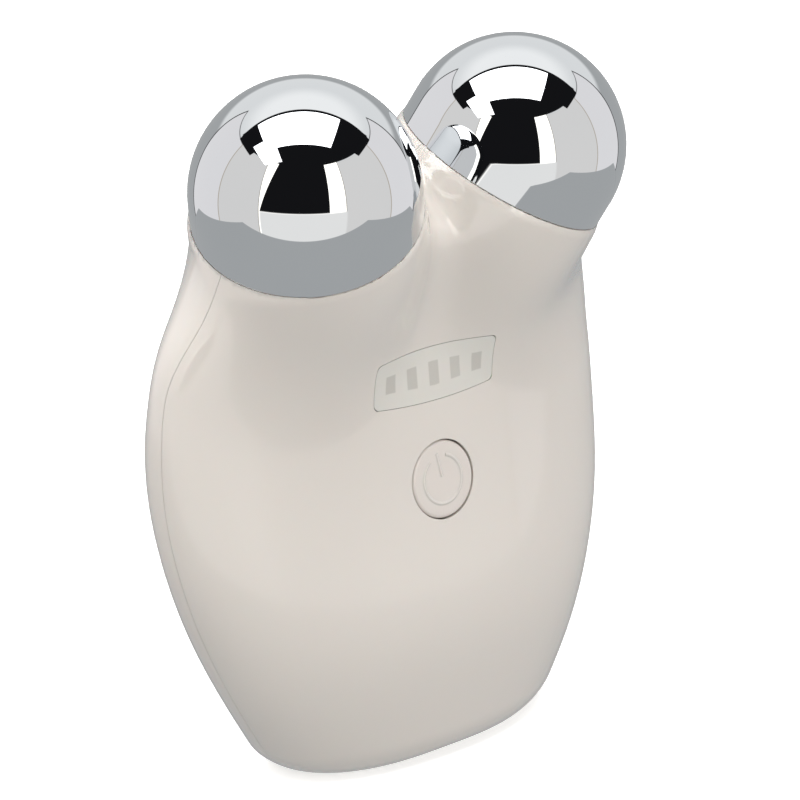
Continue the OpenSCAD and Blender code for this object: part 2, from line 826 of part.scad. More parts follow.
module battery_lead(shift) {
    start = from_face(header_x + shift, header_v, board_back - 7.3);
    finish = from_face(header_x + 3 * shift, cell_v - cell_l / 2 - 0.2, board_back - tape_t - cell_t / 2);
    lead([start, start + [0, 2.5, 1], (start + finish) / 2 + [0, 3, 0], finish + [0, 0.6, -2.5], finish]);
}

module battery_lead_red() color("red") battery_lead(1.2);

module battery_lead_black() color("black") battery_lead(-1.2);

// ---- Charging socket ----

socket_body_w = 8;
socket_body_d = 7;
socket_body_h = 8;
socket_body_z = foot_proud + wall + fit_gap;
socket_mouth = foot_proud + 0.2;
socket_bore_l = pin_recess + pin_l;
socket_back = socket_body_z + socket_body_h;
pin_root_r = pin_d / 2 + 0.25;
pin_tail = 0.6;      // how far the pin's root stands out of the housing's back

module socket_housing() color("black") difference() {
    union() {
        translate([-socket_body_w / 2, -socket_body_d / 2, socket_body_z])
            cube([socket_body_w, socket_body_d, socket_body_h]);
        translate([0, 0, socket_mouth]) cylinder(r = socket_d / 2, h = socket_body_z - socket_mouth + 1);
    }
    translate([0, 0, socket_mouth - 1]) cylinder(r = socket_bore_d / 2, h = socket_bore_l + 1);
    translate([0, 0, socket_mouth]) cylinder(r = pin_root_r + fit_gap / 2, h = reach);
}

module socket_pin() color("gold") {
    translate([0, 0, socket_mouth + pin_recess]) cylinder(r = pin_d / 2, h = pin_l);
    translate([0, 0, socket_mouth + socket_bore_l])
        cylinder(r = pin_root_r, h = socket_back - socket_mouth - socket_bore_l + pin_tail);
}

module socket_leads() color("darkred") for (sx = [-1, 1]) {
    start = [sx * 2.4, 1.2, socket_back + 0.2];
    finish = from_face(sx * 2.4, board_foot + 3, board_back - 0.1);
    lead([start, start + [0, 0.3, 2.5], finish + [0, 3.2, -0.4], finish], 10);
}

// ---- Fasteners and feet ----

case_screw_grip = 5;

module case_screws() color("lightgray") for (p = case_screws_at())
    at_case_screw(p) translate([0, 0, case_seat]) screw(case_seat + case_screw_grip);

module screw_plugs() color("ivory") one_skin() for (p = case_screws_at())
    intersection() {
        at_case_screw(p) translate([0, 0, plug_foot]) cylinder(r = plug_r, h = body_d, $fn = boss_sides);
        form(0.15);
    }

// One of the two foot pads: half of a pad with a wide gap for the socket
module foot_outline(side, extra = 0) {
    inner = socket_d / 2 + 2;
    outer = foot_w / 2;
    translate([side * (inner + outer) / 2, spine(0)])
        square([outer - inner + 2 * extra, foot_d + 2 * extra], center = true);
}

module foot_pads() color("gray") for (side = [LEFT, RIGHT])
    linear_extrude(height = foot_t) foot_outline(side);

front_shell();
rear_shell();
electrode_dome(LEFT);  // left_electrode_dome
electrode_dome(RIGHT);  // right_electrode_dome
dome_carrier(LEFT);  // left_dome_carrier
dome_carrier(RIGHT);  // right_dome_carrier
seal_ring(LEFT);  // left_seal_ring
seal_ring(RIGHT);  // right_seal_ring
dome_screw(LEFT);  // left_dome_screw
dome_screw(RIGHT);  // right_dome_screw
contact_tag(LEFT);  // left_contact_tag
contact_tag(RIGHT);  // right_contact_tag
electrode_lead(LEFT);  // left_electrode_lead
electrode_lead(RIGHT);  // right_electrode_lead
led_window();
light_mask();
leds();
main_board();
power_button();
switch_body();
switch_plunger();
microcontroller();
charge_chip();
transformer_core();
transformer_winding();
capacitors();
chip_resistors();
buzzer();
battery_cell();
battery_tape();
battery_lead_red();
battery_lead_black();
battery_plug();
battery_header();
socket_housing();
socket_pin();
socket_leads();
board_screws();
case_screws();
screw_plugs();
foot_pads();
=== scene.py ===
"""Looks of a hand-held facial toning device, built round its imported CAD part.

The two ivory shells, the chrome domes, the milky window, the button and the screw plugs are
modelled here. Every other piece keeps its CAD shape and gets its finish. Lengths are millimetres
in the device's own frame (X right, -Y front, Z up from the base) and become metres in a mesh.
"""

from __future__ import annotations

import logging
import math
from collections.abc import Iterator
from contextlib import contextmanager
from dataclasses import dataclass, field
from enum import Enum

import bpy
import numpy as np
from mathutils import Matrix, Vector

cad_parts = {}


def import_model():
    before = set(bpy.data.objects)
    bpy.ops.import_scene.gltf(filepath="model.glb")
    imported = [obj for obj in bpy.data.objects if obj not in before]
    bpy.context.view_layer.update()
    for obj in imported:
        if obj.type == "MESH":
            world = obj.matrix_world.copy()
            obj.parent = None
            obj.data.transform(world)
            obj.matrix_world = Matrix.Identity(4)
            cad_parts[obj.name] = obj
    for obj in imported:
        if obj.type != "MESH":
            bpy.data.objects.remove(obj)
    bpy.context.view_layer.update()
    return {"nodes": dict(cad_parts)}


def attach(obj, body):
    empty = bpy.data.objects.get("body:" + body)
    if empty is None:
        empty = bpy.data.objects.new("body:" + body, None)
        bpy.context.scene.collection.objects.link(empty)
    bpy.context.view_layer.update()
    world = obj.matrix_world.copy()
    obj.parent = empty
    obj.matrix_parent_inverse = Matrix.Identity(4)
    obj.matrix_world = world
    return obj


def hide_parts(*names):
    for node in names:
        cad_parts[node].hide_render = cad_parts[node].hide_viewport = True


LOG = logging.getLogger("toning_device")
MM = 0.001

Object = bpy.types.Object
Socket = bpy.types.NodeSocket
Tree = bpy.types.NodeTree


class Side(Enum):
    """The device's left and right arm, as the sign of X."""

    LEFT = -1
    RIGHT = 1


class Cut(Enum):
    """What a cutter does to a solid."""

    TAKE_AWAY = "DIFFERENCE"
    KEEP_INSIDE = "INTERSECT"


# ---- Workshop: small tools for meshes ----


def deselect() -> None:
    """Leaves nothing selected."""
    bpy.ops.object.select_all(action="DESELECT")


def pick(obj: Object) -> None:
    """Selects one object alone and makes it the active one."""
    deselect()
    obj.select_set(True)
    bpy.context.view_layer.objects.active = obj


@contextmanager
def editing(obj: Object) -> Iterator[None]:
    """Opens an object's mesh for editing, with all of it selected."""
    pick(obj)
    bpy.ops.object.mode_set(mode="EDIT")
    bpy.ops.mesh.select_all(action="SELECT")
    yield
    bpy.ops.object.mode_set(mode="OBJECT")


def join(pieces: list) -> Object:
    """Joins pieces into the first of them and gives it back."""
    pick(pieces[0])
    for piece in pieces:
        piece.select_set(True)
    bpy.ops.object.join()
    return pieces[0]


def apply_modifier(obj: Object, kind: str, **settings: object) -> None:
    """Adds a modifier, sets it up and applies it.

    Args:
        obj: The object to change.
        kind: Blender's name for the kind of modifier.
        settings: The modifier's settings by name.
    """
    pick(obj)
    modifier = obj.modifiers.new(kind.lower(), kind)
    for name, value in settings.items():
        setattr(modifier, name, value)
    bpy.ops.object.modifier_apply(modifier=modifier.name)


def points_of(obj: Object) -> np.ndarray:
    """Gives an object's vertices as rows of millimetres."""
    flat = np.empty(len(obj.data.vertices) * 3)
    obj.data.vertices.foreach_get("co", flat)
    return flat.reshape(-1, 3) / MM


def set_points(obj: Object, points: np.ndarray) -> None:
    """Moves an object's vertices to rows of millimetres."""
    obj.data.vertices.foreach_set("co", (points * MM).ravel())
    obj.data.update()


def copy_of(obj: Object, name: str) -> Object:
    """Copies an object with a mesh of its own.

    Args:
        obj: The object to copy.
        name: The copy's name.

    Returns:
        The copy, linked to the scene.
    """
    twin = obj.copy()
    twin.data = obj.data.copy()
    twin.name = twin.data.name = name
    bpy.context.scene.collection.objects.link(twin)
    return twin


def discard(*objects: Object) -> None:
    """Removes objects that were only tools."""
    for obj in objects:
        bpy.data.meshes.remove(obj.data)


def face_outwards(obj: Object) -> None:
    """Merges doubled vertices and turns every face outwards."""
    with editing(obj):
        bpy.ops.mesh.remove_doubles(threshold=1e-7)
        bpy.ops.mesh.normals_make_consistent(inside=False)


def carve(solid: Object, cutter: Object, cut: Cut, keep_cutter: bool = False) -> None:
    """Cuts one closed solid with another.

    Args:
        solid: The solid that is changed.
        cutter: The closed solid that cuts.
        cut: What the cutter does.
        keep_cutter: True if the cutter is used again.
    """
    apply_modifier(solid, "BOOLEAN", object=cutter, operation=cut.value, solver="MANIFOLD")
    if not keep_cutter:
        discard(cutter)


def settle_place(obj: Object, place: Matrix) -> None:
    """Moves an object's mesh to its place and leaves the object itself at the origin."""
    obj.data.transform(obj.matrix_basis)
    obj.matrix_basis = Matrix.Identity(4)
    obj.data.transform(place)
    obj.data.update()


def drum(radius: float, low: float, high: float, place: Matrix, sides: int = 96) -> Object:
    """Makes a plain round cutter.

    Args:
        radius: Its radius in mm.
        low: Height of its foot above the place, in mm.
        high: Height of its top above the place, in mm.
        place: Where its axis stands, in metres.
        sides: Facets round it.

    Returns:
        The cutter.
    """
    deselect()
    bpy.ops.mesh.primitive_cylinder_add(
        vertices=sides, radius=radius * MM, depth=(high - low) * MM,
        location=(0, 0, (low + high) / 2 * MM),
    )
    cutter = bpy.context.object
    settle_place(cutter, place)
    return cutter


def block(low: tuple, high: tuple) -> Object:
    """Makes a box between two corners given in mm."""
    deselect()
    middle = [(a + b) / 2 * MM for a, b in zip(low, high)]
    size = [(b - a) * MM for a, b in zip(low, high)]
    bpy.ops.mesh.primitive_cube_add(size=1, location=middle, scale=size)
    box = bpy.context.object
    settle_place(box, Matrix.Identity(4))
    return box


def turned(name: str, profile: list, segments: int, place: Matrix) -> Object:
    """Turns a profile round an axis, ring after ring, as on a lathe.

    Args:
        name: The piece's name.
        profile: (radius, height) of each ring in mm, from the first ring to the last. A last
            radius of 0 closes the piece in a pole.
        segments: Facets round the axis.
        place: Where the axis stands, in metres.

    Returns:
        The closed piece.
    """
    deselect()
    radius, height = profile[0]
    bpy.ops.mesh.primitive_circle_add(
        vertices=segments, radius=radius * MM, location=(0, 0, height * MM), fill_type="NOTHING"
    )
    piece = bpy.context.object
    piece.name = piece.data.name = name
    with editing(piece):
        bpy.ops.mesh.select_mode(type="EDGE")
        for next_radius, next_height in profile[1:]:
            rise = (0, 0, (next_height - height) * MM)
            bpy.ops.mesh.extrude_edges_move(TRANSFORM_OT_translate={"value": rise})
            if next_radius == 0:
                bpy.ops.mesh.merge(type="CENTER")
                break
            grow, middle = next_radius / radius, (0, 0, next_height * MM)
            bpy.ops.transform.resize(value=(grow, grow, 1), center_override=middle)
            radius, height = next_radius, next_height
        bpy.ops.mesh.select_all(action="SELECT")
        bpy.ops.mesh.fill_holes(sides=0)
    face_outwards(piece)
    settle_place(piece, place)
    return piece


def arc(radius: float, start: float, end: float, steps: int) -> list:
    """Lists (radius, height) points on a circle about the axis, between two angles.

    Args:
        radius: The circle's radius in mm.
        start: First angle above the equator, in degrees.
        end: Last angle, in degrees.
        steps: Number of steps between them.

    Returns:
        The points, without the one at the first angle.
    """
    angles = [math.radians(start + (end - start) * k / steps) for k in range(1, steps + 1)]
    points = [(radius * math.cos(g), radius * math.sin(g)) for g in angles]
    return [(0 if r < 1e-9 else r, h) for r, h in points]


def smooth(obj: Object, angle: float = 35) -> None:
    """Shades an object smooth across edges flatter than an angle in degrees."""
    pick(obj)
    bpy.ops.object.shade_smooth_by_angle(angle=math.radians(angle))


# ---- Colours and materials ----


def linear(code: str) -> tuple:
    """Turns an sRGB hex colour into Blender's linear RGBA."""
    shares = [int(code[k : k + 2], 16) / 255 for k in (0, 2, 4)]
    return tuple(
        s / 12.92 if s <= 0.04045 else ((s + 0.055) / 1.055) ** 2.4 for s in shares
    ) + (1.0,)


def fresh_tree(owner: bpy.types.Material | bpy.types.World) -> Tree:
    """Gives a material or a world an empty node tree."""
    owner.use_nodes = True
    owner.node_tree.nodes.clear()
    return owner.node_tree


def add_node(
    tree: Tree, kind: str, settings: dict | None = None, inputs: dict | None = None
) -> bpy.types.Node:
    """Adds a node to a tree, sets it up and links it.

    Args:
        tree: The material's or the world's tree.
        kind: Blender's name for the node's type.
        settings: The node's own settings by name.
        inputs: A value or another node's output for each input, by name or number.

    Returns:
        The node.
    """
    node = tree.nodes.new(kind)
    for name, value in (settings or {}).items():
        setattr(node, name, value)
    for name, value in (inputs or {}).items():
        if isinstance(value, Socket):
            tree.links.new(value, node.inputs[name])
        else:
            node.inputs[name].default_value = value
    return node


def reckon(tree: Tree, operation: str, *values: Socket | float) -> Socket:
    """Adds one calculation with the values given."""
    node = add_node(tree, "ShaderNodeMath", {"operation": operation}, dict(enumerate(values)))
    return node.outputs[0]


def mix_colours(tree: Tree, share: Socket, first: object, second: object) -> Socket:
    """Adds a mix of two colours, from the first at 0 to the second at 1."""
    node = add_node(
        tree, "ShaderNodeMix", {"data_type": "RGBA"}, {0: share, 6: first, 7: second}
    )
    return node.outputs[2]


def mix_shaders(tree: Tree, share: Socket, *shaders: bpy.types.Node) -> bpy.types.Node:
    """Adds a mix of two shaders, from the first at 0 to the second at 1."""
    first, second = (shader.outputs[0] for shader in shaders)
    return add_node(tree, "ShaderNodeMixShader", {}, {0: share, 1: first, 2: second})


def share_along(tree: Tree, direction: Socket, axis: Vector) -> Socket:
    """Adds a vector's share along an axis."""
    node = add_node(
        tree, "ShaderNodeVectorMath", {"operation": "DOT_PRODUCT"}, {0: direction, 1: axis}
    )
    return node.outputs["Value"]


def remap(
    tree: Tree, value: Socket, after: tuple, before: tuple = (0.0, 1.0), kind: str = "LINEAR"
) -> Socket:
    """Adds a mapping of one range onto another.

    Args:
        tree: The material's or the world's tree.
        value: What is mapped.
        after: The new range's start and end.
        before: The old range's start and end.
        kind: Blender's name for the way between them.

    Returns:
        The mapped value.
    """
    limits = dict(zip(("From Min", "From Max", "To Min", "To Max"), (*before, *after)))
    node = add_node(
        tree, "ShaderNodeMapRange", {"interpolation_type": kind}, {"Value": value, **limits}
    )
    return node.outputs[0]


class Relief(Enum):
    """The pattern that a surface's making leaves on it."""

    MOULDED = "soft flow marks of a polished mould"
    SPARKED = "fine even grain of an eroded mould"
    PLATED = "nearly flawless mirror with faint dust"
    DRAWN = "long fine lines along the metal's drawing"
    FOAM = "open pores"


@dataclass(frozen=True)
class Finish:
    """One real material and how its surface was made.

    Attributes:
        name: The material's name.
        colour: Its sRGB hex colour.
        second: A second hex colour that the pattern drifts to.
        roughness: Its roughness.
        relief: The pattern of its surface.
        grain: The pattern's size in mm.
        depth: The pattern's depth in mm.
        metallic: 1 for a metal.
        ior: Index of refraction of a plastic.
        coat: Share of a clear, glossy skin over it.
        glow_through: Share of light that scatters inside it.
        edge_r: Radius in mm that its sharp edges are seen to have.
    """

    name: str
    colour: str
    second: str
    roughness: float
    relief: Relief
    grain: float
    depth: float
    metallic: float = 0.0
    ior: float = 1.5
    coat: float = 0.0
    glow_through: float = 0.0
    edge_r: float = 0.0

    def material(self) -> bpy.types.Material:
        """Makes the material.

        Returns:
            The material, with its colour drift, roughness and relief on Object coordinates.
        """
        made = bpy.data.materials.new(self.name)
        tree = fresh_tree(made)
        place = add_node(tree, "ShaderNodeTexCoord").outputs["Object"]
        self.dress(tree, place, self.colour_node(tree, place))
        return made

    def colour_node(self, tree: Tree, place: Socket) -> Socket:
        """Adds the slow drift between the two colours.

        Args:
            tree: The material's tree.
            place: Object coordinates.

        Returns:
            The colour.
        """
        drift = add_node(
            tree, "ShaderNodeTexNoise", {},
            {"Vector": place, "Scale": 1 / (self.grain * 6 * MM), "Detail": 3.0},
        )
        return mix_colours(tree, drift.outputs["Fac"], linear(self.colour), linear(self.second))

    def pattern(self, tree: Tree, place: Socket) -> Socket:
        """Adds the height pattern that the making leaves.

        Args:
            tree: The material's tree.
            place: Object coordinates.

        Returns:
            The height, from 0 to 1.
        """
        if self.relief is Relief.DRAWN:
            place = add_node(
                tree, "ShaderNodeMapping", {}, {"Vector": place, "Scale": (1.0, 1.0, 0.04)}
            ).outputs[0]
        if self.relief is Relief.FOAM:
            cells = add_node(
                tree, "ShaderNodeTexVoronoi", {}, {"Vector": place, "Scale": 1 / (self.grain * MM)}
            )
            return cells.outputs["Distance"]
        detail = 6.0 if self.relief in (Relief.SPARKED, Relief.DRAWN) else 1.5
        noise = add_node(
            tree, "ShaderNodeTexNoise", {},
            {"Vector": place, "Scale": 1 / (self.grain * MM), "Detail": detail},
        )
        return noise.outputs["Fac"]

    def dress(self, tree: Tree, place: Socket, colour: Socket) -> bpy.types.Node:
        """Adds the shader with its relief and its output.

        Args:
            tree: The material's tree.
            place: Object coordinates.
            colour: The surface's colour.

        Returns:
            The shader node.
        """
        height = self.pattern(tree, place)
        spread = remap(tree, height, (self.roughness * 0.85, self.roughness * 1.2))
        bump = add_node(
            tree, "ShaderNodeBump", {},
            {"Height": height, "Distance": self.depth * MM, "Strength": 1.0},
        )
        if self.edge_r:
            edges = add_node(tree, "ShaderNodeBevel", {"samples": 6}, {"Radius": self.edge_r * MM})
            tree.links.new(edges.outputs[0], bump.inputs["Normal"])
        shader = add_node(
            tree, "ShaderNodeBsdfPrincipled", {},
            {
                "Base Color": colour,
                "Roughness": spread,
                "Normal": bump.outputs[0],
                "Metallic": self.metallic,
                "IOR": self.ior,
                "Coat Weight": self.coat,
                "Coat Roughness": 0.03,
                "Coat IOR": 1.6,
                "Subsurface Weight": self.glow_through,
                "Subsurface Scale": 1.5 * MM,
            },
        )
        add_node(tree, "ShaderNodeOutputMaterial", {}, {"Surface": shader.outputs[0]})
        return shader


# Glossy moulded ABS: a warm ivory with a wet-looking skin and barely visible flow marks
IVORY = Finish(
    "polished_ivory_abs", "DDD7D0", "D9D2CC", 0.22, Relief.MOULDED, 9, 0.010,
    ior=1.53, coat=1.0, glow_through=0.06, edge_r=0.1,
)
# The same ABS for the button, a shade pinker from its own mould
BUTTON_IVORY = Finish(
    "button_ivory_abs", "DCD4CE", "D8D0CA", 0.2, Relief.MOULDED, 6, 0.006, ior=1.53, coat=1.0,
    glow_through=0.06, edge_r=0.12,
)
# Bright chrome plating on brass: a clean mirror, slightly cool
CHROME = Finish(
    "bright_chrome_plate", "EEF0F2", "E8EBEE", 0.018, Relief.PLATED, 3, 0.00004, metallic=1.0
)
# Milky acrylic: pale, even and a little soft; the grey where the light bars lie behind it is painted
# shade
ACRYLIC = Finish(
    "milky_acrylic", "DAD7D1", "D7D4CE", 0.22, Relief.MOULDED, 5, 0.004, ior=1.49, coat=0.25,
    glow_through=0.12,
)
# Soft plugs moulded in the body's colour, duller than the shells
PLUG_RUBBER = Finish(
    "ivory_silicone_rubber", "D6CFC7", "D0C9C1", 0.5, Relief.SPARKED, 0.35, 0.01, ior=1.41
)


@dataclass(frozen=True)
class MilkyWindow:
    """Milky acrylic with painted shade: greyer fields where the five light bars lie behind it."""

    bars: "LightRow"

    def material(self) -> bpy.types.Material:
        """Makes the window's material.

        Returns:
            The acrylic, with painted shade where a light bar lies behind it.
        """
        made = bpy.data.materials.new(ACRYLIC.name)
        tree = fresh_tree(made)
        place = add_node(tree, "ShaderNodeTexCoord").outputs["Object"]
        axes = add_node(tree, "ShaderNodeSeparateXYZ", {}, {0: place}).outputs
        bars = self.bars
        along = reckon(tree, "PINGPONG", axes[0], bars.pitch / 2 * MM)
        out = reckon(tree, "ABSOLUTE", axes[0])
        off = reckon(tree, "ABSOLUTE", reckon(tree, "SUBTRACT", axes[2], bars.height * MM))
        halves = (bars.middle_l / 2 * MM, bars.end_l / 2 * MM)
        reach = remap(tree, out, halves, (0.0, 2 * bars.pitch * MM))
        # Mask of the painted shade: the five bar fields where the bars lie behind the pane
        mask = reckon(
            tree, "MULTIPLY", self.soft_edge(tree, along, bars.width / 2),
            self.soft_edge(tree, reckon(tree, "SUBTRACT", off, reach), 0),
        )
        mask = reckon(tree, "MULTIPLY", mask, self.soft_edge(tree, out, bars.row_end * bars.pitch))
        ivory = ACRYLIC.colour_node(tree, place)
        ACRYLIC.dress(tree, place, mix_colours(tree, mask, ivory, linear(bars.shade)))
        return made

    def soft_edge(self, tree: Tree, value: Socket, limit: float) -> Socket:
        """Adds a soft step down at a limit.

        Args:
            tree: The material's tree.
            value: The length that is compared, in metres.
            limit: Where it falls to 0, in mm.

        Returns:
            1 inside the limit and 0 outside it.
        """
        soft = self.bars.softness
        edge = ((limit - soft) * MM, (limit + soft) * MM)
        return remap(tree, value, (1.0, 0.0), edge, "SMOOTHSTEP")


def dress(obj: Object, material: bpy.types.Material) -> None:
    """Gives an object one material alone."""
    obj.data.materials.clear()
    obj.data.materials.append(material)


# ---- The body's form ----


def soft_min(a: np.ndarray, b: np.ndarray, blend: float | np.ndarray) -> np.ndarray:
    """Joins two fields with a rounded valley.

    Args:
        a: One field in mm.
        b: The other.
        blend: Width of the rounding in mm.

    Returns:
        The joined field.
    """
    share = np.maximum(blend - np.abs(a - b), 0) / blend
    return np.minimum(a, b) - share * share * blend / 4


def soft_max(a: np.ndarray, b: np.ndarray, blend: float) -> np.ndarray:
    """Keeps what lies inside two fields, with a rounded edge."""
    return -soft_min(-a, -b, blend)


def round_off(a: np.ndarray, b: np.ndarray, radius: float) -> np.ndarray:
    """Keeps what lies inside two fields, with an edge of a given radius.

    Args:
        a: One field in mm.
        b: The other.
        radius: The edge's radius in mm.

    Returns:
        The common field.
    """
    a, b = a + radius, b + radius
    return np.minimum(np.maximum(a, b), 0) + np.hypot(np.maximum(a, 0), np.maximum(b, 0)) - radius


def spline(knots: tuple, values: tuple, at: np.ndarray) -> np.ndarray:
    """Reads a natural cubic curve through a few values.

    Args:
        knots: Heights at which the values hold, in mm.
        values: The values.
        at: Heights to read.

    Returns:
        The curve's values there.
    """
    steps = np.diff(knots)
    count = len(knots)
    system, right = np.eye(count), np.zeros(count)
    for i in range(1, count - 1):
        system[i, i - 1 : i + 2] = steps[i - 1], 2 * (steps[i - 1] + steps[i]), steps[i]
        right[i] = 6 * np.diff(np.diff(values[i - 1 : i + 2]) / steps[i - 1 : i + 1])[0]
    bend = np.linalg.solve(system, right)
    i = np.clip(np.searchsorted(knots, at) - 1, 0, count - 2)
    knots, values = np.array(knots, float), np.array(values, float)
    below, above, step = at - knots[i], knots[i + 1] - at, steps[i]
    return (
        (bend[i] * above**3 + bend[i + 1] * below**3) / (6 * step)
        + (values[i] / step - bend[i] * step / 6) * above
        + (values[i + 1] / step - bend[i + 1] * step / 6) * below
    )


@dataclass(frozen=True)
class DomePlace:
    """Where the two chrome domes sit on the arms."""

    radius: float = 16.0
    middle: tuple = (19.1, -2.5, 85.8)
    lean_out: float = 22.0
    lean_forward: float = 20.4
    skirt: float = 3.7
    gap: float = 0.05
    lip: float = 0.28

    def place(self, side: Side) -> Matrix:
        """Gives a dome's own axes, with +Z out along its arm.

        Args:
            side: Which dome.

        Returns:
            The placing matrix in metres.
        """
        x, y, z = self.middle
        return (
            Matrix.Translation(Vector((side.value * x, y, z)) * MM)
            @ Matrix.Rotation(math.radians(side.value * self.lean_out), 4, "Y")
            @ Matrix.Rotation(math.radians(self.lean_forward), 4, "X")
        )

    @property
    def rim_r(self) -> float:
        """Radius of an arm's rim, a little outside the dome's skirt."""
        return self.radius + self.lip

    @property
    def rim_depth(self) -> float:
        """Depth of an arm's rim below the dome's middle."""
        return self.skirt + self.gap


@dataclass(frozen=True)
class BodyForm:
    """The body's outer skin as a smooth field: negative inside, in mm.

    The trunk is a stack of rounded oval sections, each arm a tapering round bar under its dome,
    and soft blends join them.
    """

    domes: DomePlace = field(default_factory=DomePlace)
    heights: tuple = (0.3, 10, 20, 32, 44, 56, 66, 78)
    half_widths: tuple = (24.0, 30.1, 34.9, 38.7, 40.0, 39.3, 35.2, 19.0)
    half_depths: tuple = (12.5, 12.7, 13.9, 13.7, 13.6, 12.7, 11.6, 11.7)
    middles: tuple = (-0.2, -0.5, 0.7, 2.6, 4.7, 5.4, 4.9, 2.8)
    squareness: float = 2.15
    top_blend: float = 6.0
    foot_edge_r: float = 4.6
    stack_overlap: float = 0.4
    stack_inset: float = 0.8
    core_inset: float = 0.5
    core_l: float = 30.0
    valley_core: tuple = (8.5, 64.0, 81.0, 2.5)  # radius, foot, top and Y of a drum at the fork
    arm_straight: float = 6.0
    arm_l: float = 45.0
    arm_taper: float = 0.012
    arm_blend: float = 6.0
    crotch_blend: float = 5.0
    waist_blend: float = 16.5
    waist_x: float = 36.0
    flare: float = 1.0
    flare_slope: float = 1.2
    rim_blend: float = 1.0
    rounds: int = 14

    def trunk(self, points: np.ndarray) -> np.ndarray:
        """Gives the trunk's field.

        Args:
            points: Rows of millimetres.

        Returns:
            The field at each.
        """
        x, y, z = points.T
        level = np.clip(z, self.heights[0], self.heights[-1])
        w = spline(self.heights, self.half_widths, level)
        d = spline(self.heights, self.half_depths, level)
        back = y - spline(self.heights, self.middles, level)
        power = self.squareness
        ratio = ((np.abs(x) / w) ** power + (np.abs(back) / d) ** power) ** (1 / power) + 1e-9
        side = np.where(ratio > 0.02, np.hypot(x, back) * (1 - 1 / ratio), -np.minimum(w, d))
        return soft_max(side, z - self.heights[-1], self.top_blend)

    def along_arm(self, points: np.ndarray, side: Side) -> tuple:
        """Measures points against an arm's axis.

        Args:
            points: Rows of millimetres.
            side: Which arm.

        Returns:
            Each point's height along the axis from the dome's middle, and distance from the axis.
        """
        place = np.array(self.domes.place(side))
        away = points - place[:3, 3] / MM
        height = away @ place[:3, 2]
        return height, np.linalg.norm(away - height[:, None] * place[:3, 2], axis=1)

    def value(self, points: np.ndarray) -> np.ndarray:
        """Gives the body's field.

        Args:
            points: Rows of millimetres.

        Returns:
            The field at each: 0 on the skin and negative inside.
        """
        arms = []
        for side in Side:
            height, away = self.along_arm(points, side)
            narrowed = self.arm_taper * np.maximum(-height - self.arm_straight, 0) ** 2
            arms.append(np.maximum(away - (self.domes.rim_r - narrowed), -height - self.arm_l))
        out = np.clip(np.abs(points[:, 0]) / self.waist_x, 0, 1)
        out = out * out * (3 - 2 * out)
        blend = self.crotch_blend + (self.waist_blend - self.crotch_blend) * out
        joined = soft_min(self.trunk(points), soft_min(*arms, self.arm_blend), blend)
        mirrored = points.copy()
        mirrored[:, 0] = np.abs(points[:, 0])
        height, away = self.along_arm(mirrored, Side.RIGHT)
        rim = self.domes.rim_depth
        collar = away - self.domes.rim_r - self.flare * np.maximum(-rim - height, 0)
        joined = soft_max(joined, collar / self.flare_slope, self.rim_blend)
        joined = soft_max(joined, height - 1, self.rim_blend)
        return round_off(joined, self.heights[0] - points[:, 2], self.foot_edge_r)

    def slope(self, points: np.ndarray) -> np.ndarray:
        """Gives the field's slope.

        Args:
            points: Rows of millimetres.

        Returns:
            Its gradient at each point.
        """
        step = 0.02
        return np.stack(
            [
                (self.value(points + step * axis) - self.value(points - step * axis)) / (2 * step)
                for axis in np.eye(3)
            ],
            axis=1,
        )

    def settle(self, points: np.ndarray, level: float, rounds: int) -> np.ndarray:
        """Moves points onto the skin, or onto a level inside it.

        Args:
            points: Rows of millimetres.
            level: The field's value to reach.
            rounds: How many steps to take.

        Returns:
            The moved points.
        """
        for _ in range(rounds):
            off, slope = self.value(points) - level, self.slope(points)
            step = (off / np.maximum((slope**2).sum(axis=1), 0.05))[:, None] * slope
            length = np.linalg.norm(step, axis=1, keepdims=True)
            points = points - step * np.minimum(1, 1.5 / np.maximum(length, 1e-9))
        return points

    def front(self, z: float) -> float:
        """Finds the skin's Y on the middle line of the front at a height in mm."""
        reach = np.linspace(-20, 0, 2001)
        line = np.stack([reach * 0, reach, reach * 0 + z], axis=1)
        return float(reach[np.argmax(self.value(line) < 0)])

    def rough(self) -> Object:
        """Roughs the body out of flattened cones, two round bars and a drum at their fork.

        Returns:
            The overlapping primitives as one object.
        """
        parts = []
        for k in range(len(self.heights) - 2):
            low, high = self.heights[k], self.heights[k + 1] + self.stack_overlap
            wide_low, wide_high = (w - self.stack_inset for w in self.half_widths[k : k + 2])
            flat = sum(self.half_depths[k : k + 2]) / sum(self.half_widths[k : k + 2])
            middle = (0, sum(self.middles[k : k + 2]) / 2 * MM, (low + high) / 2 * MM)
            deselect()
            bpy.ops.mesh.primitive_cone_add(
                vertices=96, radius1=wide_low * MM, radius2=wide_high * MM,
                depth=(high - low) * MM, location=middle, scale=(1, flat, 1),
            )
            parts.append(bpy.context.object)
            settle_place(parts[-1], Matrix.Identity(4))
        radius, low, high, y = self.valley_core
        parts.append(drum(radius, low, high, Matrix.Translation((0, y * MM, 0))))
        for side in Side:
            radius = self.domes.rim_r - self.core_inset
            parts.append(drum(radius, -self.core_l, self.core_inset, self.domes.place(side)))
        return join(parts)

